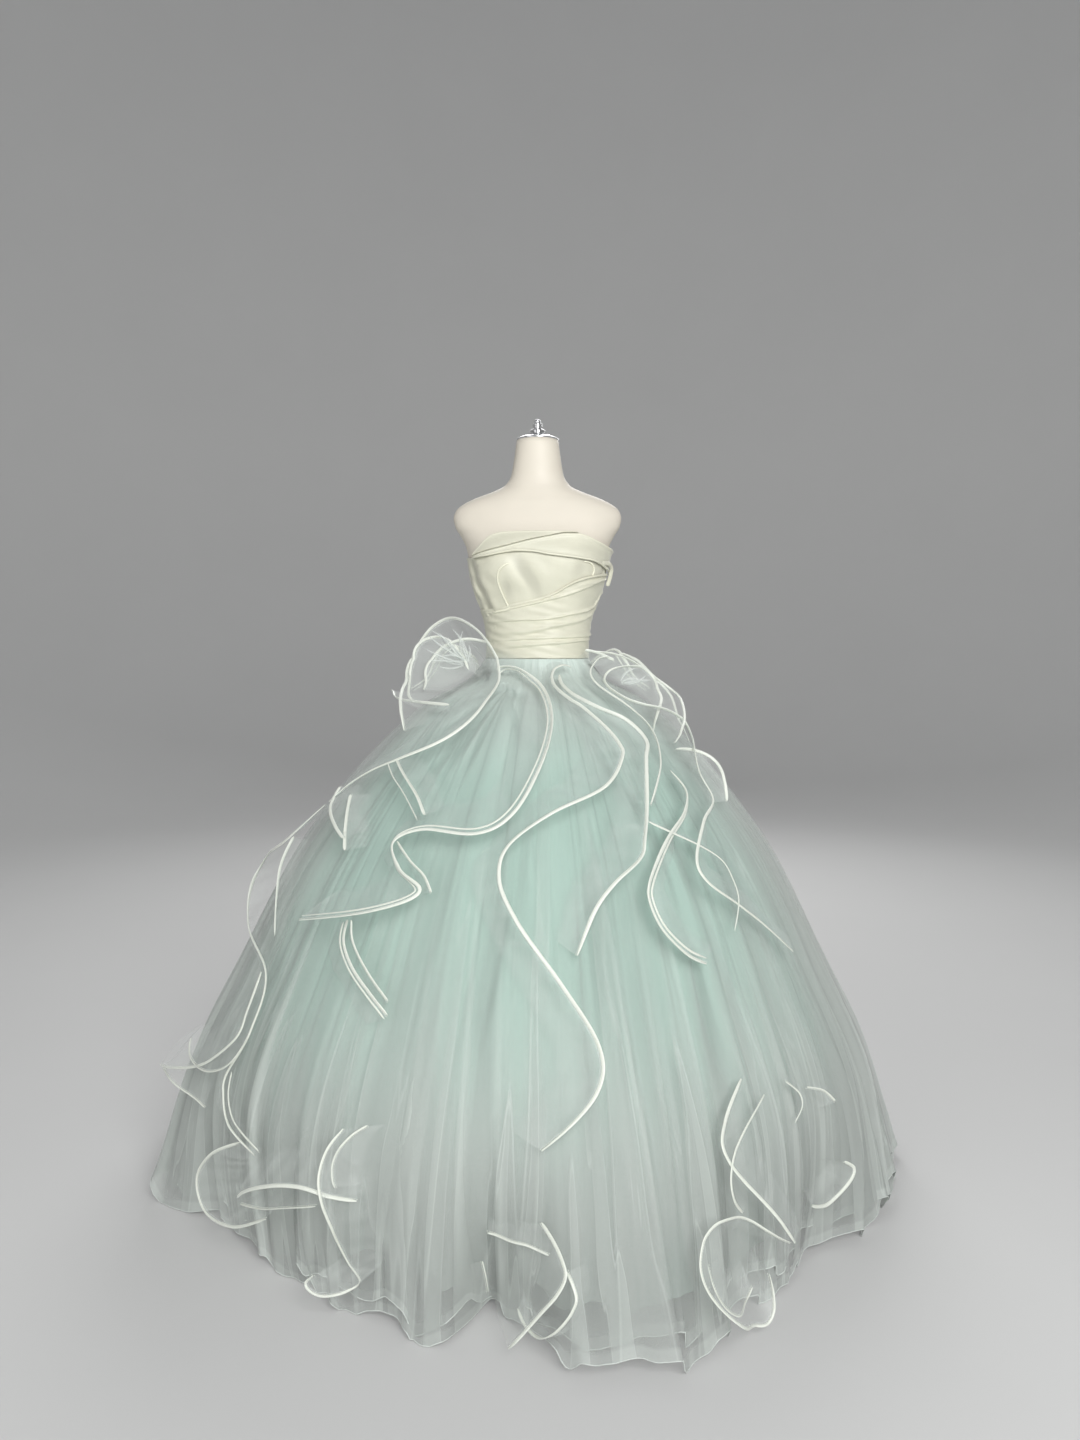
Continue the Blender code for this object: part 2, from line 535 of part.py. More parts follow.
def new_material(name, colour, roughness, metallic=0.0):
    """A Principled material of one colour."""
    material = bpy.data.materials.new(name)
    material.use_nodes = True
    shader = material.node_tree.nodes["Principled BSDF"]
    shader.inputs["Base Color"].default_value = (*colour, 1.0)
    shader.inputs["Roughness"].default_value = roughness
    shader.inputs["Metallic"].default_value = metallic
    return material


# ---- sub-parts -----------------------------------------------------------
def make_form(material):
    """The torso without limbs, closed flat under the hips and at the neck."""
    rings = [[body_point(360 * i / FORM_SIDES, row.height, 0.0) for i in range(FORM_SIDES)] for row in BODY]
    return loft("form_torso", rings, material)


def make_stand(metal):
    """The neck cap with its finial, the pole and the round foot."""
    turned("form_neck_cap", CAP_PROFILE, NECK_TOP + SEAM_GAP, CAP_SIDES, metal)
    turned("stand_base", BASE_PROFILE, 0.0, BASE_SIDES, metal)
    foot = BASE_PROFILE[-1].height + SEAM_GAP
    pole = (ProfilePoint(POLE_RADIUS, 0.0), ProfilePoint(POLE_RADIUS, FORM_BOTTOM - SEAM_GAP - foot))
    turned("stand_pole", pole, foot, CAP_SIDES, metal)


def panel_wall(name, start, end, row_heights, out, material, rise=None):
    """A satin wall laid on the dress form between two angles."""
    outer, inner = [], []
    angles = columns(start, end)
    for row, height_at in enumerate(row_heights):
        lift = rise[row] if rise else 0.0
        outer.append([body_point(angle, height_at(angle), out + SATIN_THICKNESS + lift) for angle in angles])
        inner.append([body_point(angle, height_at(angle), out) for angle in angles])
    return wall(name, outer, inner, material)


def band_wall(name, table, section, full_rise, out, material):
    """A satin band between a table's low and high lines, standing out as its section says."""
    def row_at(share):
        return lambda angle: ((1 - share) * read_table(table, "angle", "low", angle)
                              + share * read_table(table, "angle", "high", angle))
    return panel_wall(name, table[0].angle, table[-1].angle, [row_at(point.share) for point in section],
                      out, material, [point.rise * full_rise for point in section])


def make_bodice(satin, tape):
    """Front, side fronts, backs and the zip strip between the backs."""
    def row_at(share):
        return lambda angle: (WAIST_HEIGHT + WAIST_SEAM_GAP) * (1 - share) + share * read_table(
            BODICE_TOP, "angle", "height", (angle + 180) % 360 - 180)
    rows = [row_at(share) for share in spread(0, 1, BODICE_ROWS)]
    half_gap = math.degrees(SEAM_GAP / 2 / read_table(BODY, "height", "front", WAIST_HEIGHT))
    for panel in BODICE_PANELS:
        panel_wall(panel.name, panel.start + half_gap, panel.end - half_gap, rows,
                   BODICE_CLEARANCE, tape if "zip" in panel.name else satin)


def make_neckline(satin):
    """Two folded bands across the neckline and the tab that ends the lower one."""
    over_bodice = BODICE_CLEARANCE + SATIN_THICKNESS + LAYER_GAP
    over_upper = over_bodice + SATIN_THICKNESS + CUFF_GAP
    band_wall("neckline_fold_upper", UPPER_CUFF, FLAT_BAND, 0.0, over_bodice, satin)
    band_wall("neckline_fold_lower", LOWER_CUFF, FOLDED_BAND, FOLD_RISE, over_upper, satin)
    band_wall("neckline_fold_tab", TAB, FLARED_TAB, TAB_FLARE, over_upper + FOLD_RISE, satin)


def make_drape(satin):
    """Wrapped satin below the bust, in overlapping folds that rise to one side."""
    folds = [FoldPoint((fold + point.share) / DRAPE_FOLDS, point.rise)
             for fold in range(DRAPE_FOLDS) for point in DRAPE_FOLD]
    band_wall("bodice_waist_drape", DRAPE, [FoldPoint(0, 0), *folds, FoldPoint(1, 0)], FOLD_RISE,
              BODICE_CLEARANCE + SATIN_THICKNESS + LAYER_GAP, satin)


def make_skirt(tulle):
    """The pleated skirt, cut in gores from waist to hem; gives the gores back."""
    gores = []
    names = ("front", "front_right", "back_right", "back", "back_left", "front_left")
    gore = 360 / SKIRT_GORES
    top, bottom = SKIRT[0].height, SKIRT[-1].height
    for index, name in enumerate(names):
        middle = index * gore
        angles = spread(middle - gore / 2, middle + gore / 2, PLEATS_PER_GORE * POINTS_PER_PLEAT)
        outer, inner = [], []
        for ring in SKIRT:
            half_gap = math.degrees(SEAM_GAP / 2 / ring.radius)
            trimmed = [angles[0] + half_gap] + angles[1:-1] + [angles[-1] - half_gap]
            lowering = ((top - ring.height) / (top - bottom)) ** HEM_ONSET
            heights = [ring.height + hem_height(angle) * lowering for angle in trimmed]
            outer.append([skirt_point(a, height, 0.0) for a, height in zip(trimmed, heights)])
            inner.append([skirt_point(a, height, -SKIRT_THICKNESS) for a, height in zip(trimmed, heights)])
        gores.append(wall("skirt_" + name, outer, inner, tulle))
    return gores


def grids_tree(grids):
    """A search tree over the faces of some grids of points."""
    points, faces = [], []
    for grid in grids:
        faces += skin_faces(len(grid), len(grid[0]), len(points))
        points += [point for row in grid for point in row]
    return BVHTree.FromPolygons(points, faces)


def pieces_tree(pieces):
    """A search tree over the faces of finished pieces."""
    points, faces = [], []
    for piece in pieces:
        faces += [[len(points) + i for i in face.vertices] for face in piece.data.polygons]
        points += [vertex.co.copy() for vertex in piece.data.vertices]
    return BVHTree.FromPolygons(points, faces)


def flounce_grid(bends, lift):
    """Points of a flounce from its seam to its edge, the seam lifted off the skirt."""
    grid = []
    for bend in spline_rows(bends, FLOUNCE_STEPS):
        line = []
        for share in spread(0, 1, FLOUNCE_ACROSS):
            angle = bend.seam_angle + (bend.angle - bend.seam_angle) * share
            height = bend.seam_height + (bend.height - bend.seam_height) * share
            out = lift + (bend.stand_off - lift) * share ** EDGE_RISE
            line.append(skirt_place(angle, height, out))
        grid.append(line)
    return grid


def skins_of(grid, thickness):
    """The two faces of a wall on either side of a grid."""
    normals = grid_normals(grid)
    return [[[p + n * side * thickness / 2 for p, n in zip(*pair)] for pair in zip(grid, normals)]
            for side in (1, -1)]


def seam_lift(bends, skirt):
    """The least lift at which a flounce's seam rests on the pleats and not in them."""
    low, high = LOWEST_SEAM_LIFT, HIGHEST_SEAM_LIFT
    for _ in range(SEAT_ROUNDS):
        middle = (low + high) / 2
        if grids_tree(skins_of(flounce_grid(bends, middle), ORGANZA_THICKNESS)).overlap(skirt):
            low = middle
        else:
            high = middle
    return high + SEAM_CLEARANCE


def make_flounce(name, bends, skirt, organza, satin):
    """One circular-cut flounce in S-shaped waves, and the satin that binds its edge."""
    grid = flounce_grid(bends, seam_lift(bends, skirt))
    outer, inner = skins_of(grid, ORGANZA_THICKNESS)
    wall("flounce_" + name, outer, inner, organza)

    normals = grid_normals(grid)
    edge = [row[-1] for row in grid]
    near, far = [], []
    for r, point in enumerate(edge):
        ahead = (edge[min(r + 1, len(edge) - 1)] - edge[min(r, len(edge) - 2)]).normalized()
        behind = (edge[max(r, 1)] - edge[max(r - 1, 0)]).normalized()
        away = (ahead + behind).cross(normals[r][-1]).normalized()
        mitre = 1 / max(away.dot(ahead.cross(normals[r][-1]).normalized()), MITRE_LIMIT)
        near.append(point + away * BINDING_GAP * mitre)
        far.append(near[-1] + away * BINDING_WIDTH)
    half = BINDING_THICKNESS / 2
    front = [(a + n[-1] * half, b + n[-1] * half) for a, b, n in zip(near, far, normals)]
    back = [(a - n[-1] * half, b - n[-1] * half) for a, b, n in zip(near, far, normals)]
    wall("binding_" + name, front, back, satin)


def main():
    """Build the whole model in an empty scene."""
    for old in list(bpy.data.objects):
        bpy.data.objects.remove(old, do_unlink=True)
    form = new_material("form_cream_paint", (0.80, 0.75, 0.66), 0.55)
    metal = new_material("stand_chrome", (0.70, 0.70, 0.71), 0.18, 1.0)
    satin = new_material("ivory_satin", (0.72, 0.73, 0.60), 0.38)
    tape = new_material("ivory_zip_tape", (0.66, 0.67, 0.56), 0.60)
    tulle = new_material("mint_tulle", (0.45, 0.58, 0.51), 0.85)
    organza = new_material("white_organza", (0.62, 0.66, 0.62), 0.50)
    edge = new_material("ivory_satin_binding", (0.74, 0.78, 0.68), 0.35)

    make_form(form)
    make_stand(metal)
    make_bodice(satin, tape)
    make_neckline(satin)
    make_drape(satin)
    skirt = pieces_tree(make_skirt(tulle))
    for name, bends in FLOUNCES.items():
        make_flounce(name, bends, skirt, organza, edge)


main()
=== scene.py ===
"""Strapless ball gown on a limbless dress form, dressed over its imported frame.

Metres, +Z up, the gown's front towards -Y.  Angles round the body are in
degrees, 0 at the front and positive towards +X.
"""
import math
from collections import namedtuple
from functools import partial, reduce

import bmesh
import bpy
import numpy as np
from bpy.props import FloatProperty, FloatVectorProperty, PointerProperty
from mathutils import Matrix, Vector


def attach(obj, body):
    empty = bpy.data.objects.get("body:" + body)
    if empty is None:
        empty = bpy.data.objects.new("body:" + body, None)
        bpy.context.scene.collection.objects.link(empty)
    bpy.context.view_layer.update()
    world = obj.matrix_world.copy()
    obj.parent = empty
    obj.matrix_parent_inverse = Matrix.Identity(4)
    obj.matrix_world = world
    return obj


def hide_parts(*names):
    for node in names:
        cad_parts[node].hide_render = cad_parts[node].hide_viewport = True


bl_info = {
    "name": "Ball gown on a dress form",
    "version": (1, 0, 0),
    "blender": (4, 5, 0),
    "location": "View3D > Sidebar > Gown",
    "description": "Builds a mint tulle ball gown with satin-bound organza flounces on its dress form",
    "category": "Add Mesh",
}

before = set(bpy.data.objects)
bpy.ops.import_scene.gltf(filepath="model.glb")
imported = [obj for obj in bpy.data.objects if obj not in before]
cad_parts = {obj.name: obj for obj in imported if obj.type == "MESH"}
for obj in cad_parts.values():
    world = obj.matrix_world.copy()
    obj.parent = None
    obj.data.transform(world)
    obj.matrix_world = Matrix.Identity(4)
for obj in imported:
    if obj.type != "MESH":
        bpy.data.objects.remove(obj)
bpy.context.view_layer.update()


# ---- tables with named columns ----
def table(columns, *rows):
    """Rows whose columns have names."""
    row = namedtuple("Row", columns)
    return tuple(row(*values) for values in rows)


def tables(columns, **rows):
    """Several tables with the same columns, by name."""
    return {name: table(columns, *points) for name, points in rows.items()}


def flounces(**rows):
    """Tables of bends, one for each flounce; heights and stand-offs are given in millimetres."""
    return tables("angle height stand_off seam_angle seam_height", **{
        name: [(angle, height / 1000, stand_off / 1000, seam_angle, seam_height / 1000)
               for angle, height, stand_off, seam_angle, seam_height in bends]
        for name, bends in rows.items()})


# ---- sizes shared with the frame ----
WAIST_HEIGHT = 1.121
NECK_TOP = 1.606
FORM_BOTTOM = 0.840
SEAM_GAP = 0.0004
BODICE_CLEARANCE = 0.0026
SATIN_THICKNESS = 0.0020
LAYER_GAP = 0.0017
CUFF_GAP = 0.0012
OVER_SATIN = BODICE_CLEARANCE + SATIN_THICKNESS
OVER_BODICE = OVER_SATIN + LAYER_GAP
FOLD_RISE = 0.0028
HEM_SHIFT = -0.023
HEM_CLEARANCE = 0.005
HEM_WAVE = 0.008
HEM_ONSET = 4
MEAN_PLEAT_DEPTH = 0.78
ROUND_BELOW = 0.95
WAIST_OVAL = 0.78
LOBE_TOP = 0.45
LOBE_CURVE = 1.6
EDGE_RISE = 0.7
SEAM_LIFT = -0.006
BUST_ANGLE = 36.0
BUST_SPREAD = 24.0
BUST_HEIGHT = 1.315
BUST_TALL = 0.060
BUST_RISE = 0.018
POLE_RADIUS = 0.0125
CLOSED_RADIUS = 0.0001

BODY = table(
    "height half_width front back",
    (0.84, 0.14, 0.092, 0.1), (0.855, 0.155, 0.102, 0.113), (0.9, 0.165, 0.108, 0.124),
    (0.96, 0.16, 0.104, 0.12), (1.03, 0.138, 0.094, 0.1), (1.09, 0.114, 0.084, 0.083),
    (1.14, 0.109, 0.082, 0.08), (1.19, 0.112, 0.085, 0.083), (1.226, 0.121, 0.089, 0.087),
    (1.262, 0.134, 0.094, 0.091), (1.3, 0.146, 0.1, 0.095), (1.34, 0.153, 0.104, 0.098),
    (1.37, 0.16, 0.099, 0.1), (1.395, 0.172, 0.09, 0.096), (1.415, 0.184, 0.081, 0.089),
    (1.435, 0.188, 0.074, 0.081), (1.452, 0.182, 0.068, 0.074), (1.467, 0.163, 0.063, 0.068),
    (1.48, 0.135, 0.058, 0.063), (1.492, 0.102, 0.054, 0.058), (1.506, 0.074, 0.05, 0.054),
    (1.528, 0.059, 0.047, 0.05), (1.56, 0.053, 0.046, 0.047), (1.606, 0.0465, 0.0455, 0.0455),
)
SKIRT = table(
    "height radius pleat_depth",
    (1.121, 0.1165, 0.0015), (1.08, 0.149, 0.005), (1.03, 0.24, 0.008), (0.95, 0.33, 0.011),
    (0.85, 0.42, 0.014), (0.7, 0.53, 0.017), (0.5, 0.633, 0.02), (0.26, 0.742, 0.025), (0, 0.794, 0.032),
)
HEM_LOBES = table(
    "angle reach",
    (-180, 1), (-150, 1.04), (-125, 0.96), (-95, 1.03), (-69, 1.02), (-60, 0.89), (-45, 0.87), (-30, 0.9),
    (-17, 0.93), (-10, 0.97), (-5, 0.81), (0, 0.91), (6, 1.05), (17, 1.09), (23, 1.05), (28, 0.95),
    (36, 0.96), (47, 0.9), (57, 0.97), (76, 1.03), (93, 1.06), (122, 0.97), (150, 1.04), (180, 1),
)
WAVE = "count size start"
PLEAT_WANDER = table(WAVE, (3, 0.030, 0.7), (7, 0.018, 2.1))
DEPTH_WANDER = table(WAVE, (5, 0.22, 1.0))
HEM_WANDER = table(WAVE, (4, 0.6, 0.4), (9, 0.4, 0.0))
CAP_PROFILE = table(
    "radius height",
    (0.0001, 0), (0.0462, 0), (0.047, 0.0008), (0.047, 0.0032), (0.0462, 0.004), (0.044, 0.005),
    (0.04, 0.0066), (0.033, 0.0086), (0.03, 0.01), (0.0296, 0.0112), (0.024, 0.0126), (0.018, 0.0142),
    (0.015, 0.0156), (0.0138, 0.0172), (0.0158, 0.0186), (0.0174, 0.0204), (0.0172, 0.0222), (0.015, 0.024),
    (0.0112, 0.0254), (0.0088, 0.0268), (0.0086, 0.0284), (0.0104, 0.0298), (0.011, 0.0312),
    (0.0104, 0.0326), (0.0096, 0.0334), (0.0106, 0.0346), (0.011, 0.0358), (0.01, 0.0372), (0.0074, 0.0384),
    (0.007, 0.0394), (0.008, 0.041), (0.008, 0.0428), (0.0066, 0.0448), (0.0046, 0.0464), (0.002, 0.0473),
    (0.0001, 0.0475),
)
BASE_PROFILE = table(
    "radius height",
    (0.0001, 0), (0.163, 0), (0.165, 0.0016), (0.165, 0.0066), (0.1634, 0.0088), (0.156, 0.012),
    (0.154, 0.0128), (0.11, 0.0148), (0.06, 0.0165), (0.038, 0.0178), (0.027, 0.0196), (0.024, 0.022),
    (0.0236, 0.031), (0.0224, 0.0338), (0.02, 0.034), (0.0001, 0.034),
)

# ---- bodice lines ----
SEAM_TOP = 1.385
BODICE_TOP = table(
    "angle height",
    (-180, 1.335), (-120, 1.342), (-90, 1.345), (-72, 1.3435), (-62, 1.342), (-56, 1.347), (-50, 1.357),
    (-44, 1.369), (-38, 1.38), (-32, 1.387), (-26, 1.391), (0, 1.394), (24, 1.3935), (36, 1.386),
    (45, 1.3785), (55, 1.371), (65, 1.3655), (80, 1.3605), (120, 1.345), (180, 1.335),
)
UPPER_CUFF = table(
    "angle low high",
    (-60, 1.3395, 1.344), (-54, 1.339, 1.355), (-47, 1.34, 1.368), (-42, 1.341, 1.3785),
    (-36, 1.342, 1.3885), (-30, 1.344, 1.3935), (-25, 1.348, 1.396), (0, 1.365, 1.3975),
    (25, 1.378, 1.3966), (36, 1.376, 1.388), (50, 1.369, 1.374),
)
LOWER_CUFF = table(
    "angle low high",
    (-61, 1.3398, 1.3418), (-57, 1.3396, 1.3446), (-52, 1.3402, 1.3474), (-40, 1.3424, 1.3534),
    (-28, 1.348, 1.36), (-16, 1.3524, 1.369), (-5, 1.3512, 1.377), (8, 1.345, 1.385), (21, 1.3402, 1.392),
    (30, 1.3372, 1.3924), (36, 1.3352, 1.389), (45, 1.3322, 1.3812), (55, 1.3266, 1.3738),
    (65, 1.321, 1.3682), (80, 1.315, 1.3632), (96, 1.311, 1.359),
)
TAB = table(
    "angle height out",
    (58, 1.33, 0.011), (67, 1.331, 0.014), (74, 1.3285, 0.017), (79.5, 1.319, 0.018), (81.5, 1.306, 0.0172),
    (82.2, 1.294, 0.0165), (82.2, 1.283, 0.016),
)
TAIL_WIDTH = 0.0095
TAIL_THICKNESS = 0.0042
TAIL_FACING = (0.35, -0.94, 0.0)
LIP_SOFTNESS = 0.0011
# The lower edge of each wrapped fold below the bust, lowest first: where it
# runs, how proud it stands, and over what height it comes up.
FOLD_LINE = "angle height rise"
DRAPE_FOLDS = table(
    "softness line",
    (0.0014, table(FOLD_LINE, (-91, 1.1218, 0.3), (0, 1.1218, 0.35), (91, 1.1218, 0.4))),
    (0.006, table(FOLD_LINE, (-91, 1.139, 0.1), (-34, 1.141, 0.2), (-18, 1.144, 1.1), (24, 1.151, 1.2),
        (61, 1.157, 0.8), (91, 1.158, 0.5))),
    (0.003, table(FOLD_LINE, (-91, 1.156, 0.1), (-34, 1.159, 0.2), (-8, 1.162, 0.9), (24, 1.164, 1.2),
        (80, 1.17, 1.2), (91, 1.172, 1))),
    (0.007, table(FOLD_LINE, (-91, 1.172, 0.1), (-40, 1.171, 0.2), (-19, 1.171, 1.1), (18, 1.185, 1.3),
        (62, 1.203, 1), (80, 1.222, 0.7), (91, 1.235, 0.5))),
    (0.0028, table(FOLD_LINE, (-91, 1.198, 0.1), (-40, 1.2, 0.25), (-22, 1.202, 1), (7, 1.204, 1.4),
        (32, 1.213, 1.5), (68, 1.231, 1.5), (77, 1.256, 1.3), (91, 1.27, 1))),
    (0.0032, table(FOLD_LINE, (-91, 1.216, 0.1), (-40, 1.22, 0.2), (-25, 1.228, 0.6), (4, 1.242, 1.1),
        (27, 1.256, 1.4), (42, 1.27, 1.5), (66, 1.29, 1.5), (91, 1.296, 1))),
)
DRAPE_TOP = table(
    FOLD_LINE,
    (-91, 1.224, 0.2), (-40, 1.226, 0.2), (-25, 1.234, 0.25), (4, 1.249, 0.4), (17, 1.262, 1.2),
    (26, 1.277, 1.4), (35, 1.288, 1.5), (47, 1.296, 1.4), (65, 1.302, 1.2), (91, 1.306, 0.9),
)
DRAPE_HEM_WIDTH = 0.0060
DRAPE_HEM = table(
    "share bead",
    (0.0, 0.05), (0.12, 0.8), (0.30, 1.25), (0.50, 1.30), (0.75, 0.9), (0.92, 0.4), (1.0, 0.0),
)
DRAPE_PUFF = table(
    "angle height",
    (-91, 1.25), (0, 1.255), (27, 1.268), (42, 1.283), (60, 1.292), (91, 1.298),
)
SEAMS = tables("angle height", left_bust=(
    (-24, 1.121), (-25, 1.18), (-27, 1.225), (-30, 1.241), (-32, 1.262), (-33, 1.286), (-31.5, 1.303),
    (-29.5, 1.313), (-25.5, 1.322), (-22, 1.3265), (-21, 1.4),
), right_bust=(
    (44, 1.121), (45, 1.25), (47.5, 1.302), (49, 1.313), (46.5, 1.324), (41, 1.331), (38, 1.4),
), left_side=((-92, 1.121), (-92, 1.4)), right_side=((92, 1.121), (92, 1.4)), zip_left=((177.6, 1.121),
    (177.6, 1.4)), zip_right=((-177.6, 1.121), (-177.6, 1.4)))
PIPINGS = {"princess_seam_left": SEAMS["left_bust"][9:1:-1], **tables(
    "angle height",
    waist_seam_left=((-60, 1.2235), (-48, 1.2235), (-36, 1.2265), (-27, 1.2325)),
    princess_seam_right=((37, 1.331), (42, 1.33), (46.5, 1.324), (49, 1.313), (47.5, 1.302)),
)}
# Each panel lies between two seams; one that starts past the back starts a turn on.
BODICE_PANELS = table(
    "name start end turns",
    ("bodice_front", "left_bust", "right_bust", 0),
    ("bodice_side_front_left", "left_side", "left_bust", 0),
    ("bodice_side_front_right", "right_bust", "right_side", 0),
    ("bodice_back_left", "zip_right", "left_side", 0),
    ("bodice_back_right", "right_side", "zip_left", 0),
    ("bodice_back_zip", "zip_left", "zip_right", 1),
)
# Hollows and ridges of the satin: each leans with height about its pivot.
DENTS = table(
    "rise lean pivot angle width height tall",
    (-0.0050, 210, 1.30, -8, 6.5, 1.302, 0.042), (0.0032, 210, 1.30, -20, 7.0, 1.300, 0.040),
    (0.0022, 210, 1.30, 4, 6.5, 1.298, 0.030), (-0.0030, -60, 1.30, -25, 4.0, 1.276, 0.026),
    (-0.0022, -36, 1.30, 33, 5.0, 1.318, 0.016), (-0.0026, 90, 1.27, -61, 7.5, 1.262, 0.058),
    (0.0032, 60, 1.27, -49, 6.0, 1.256, 0.042), (0.0034, 120, 1.27, -74, 6.0, 1.268, 0.050),
)
# Patches of small wrinkles, with their waves round the body and up it.
WRINKLES = table(
    "rise angle width height tall round_waves upward_waves",
    (0.0034, -70, 20, 1.268, 0.075, 17, 34), (0.0016, -70, 20, 1.268, 0.075, 13, 150),
    (0.0022, -56, 15, 1.185, 0.040, 26, -60), (0.0018, 74, 14, 1.305, 0.030, 24, -90),
    (0.0014, 148, 36, 1.200, 0.070, 5, 130), (0.0014, -148, 36, 1.200, 0.070, 5, 130),
)
WRINKLE_LEVEL = 1.2
FINE_RELIEF = 0.0005
DEEPEST_HOLLOW = 0.0028
ZIP_RISE = 0.0006
ZIP_ENDS = (WAIST_HEIGHT + 0.004, 1.322)
ZIP_PARTS = table(
    "name steps width thickness sides points",
    ("zip_pull", 4, 0.0014, 0.0009, 8, (
        (0.0, 0.0026, 1.316), (0.0022, 0.003, 1.312), (0.003, 0.0032, 1.306), (0.0022, 0.0034, 1.297),
        (0.0, 0.0034, 1.294), (-0.0022, 0.0034, 1.297), (-0.003, 0.0032, 1.306), (-0.0022, 0.003, 1.312),
        (0.0, 0.0026, 1.316))),
    ("zip_slider", 6, 0.0064, 0.0026, 12, (
        (0.0, 0.0012, 1.310), (0.0, 0.0020, 1.314), (0.0, 0.0020, 1.320), (0.0, 0.0010, 1.324))),
)
ZIP_HOOKS = table(
    "name height rise width thickness sides",
    ("zip_hook", 1.3285, 0.0012, 0.0009, 0.0009, 6), ("zip_eye", 1.3315, 0.0012, 0.0009, 0.0009, 6),
)
BACKWARDS = (0.0, 1.0, 0.0)

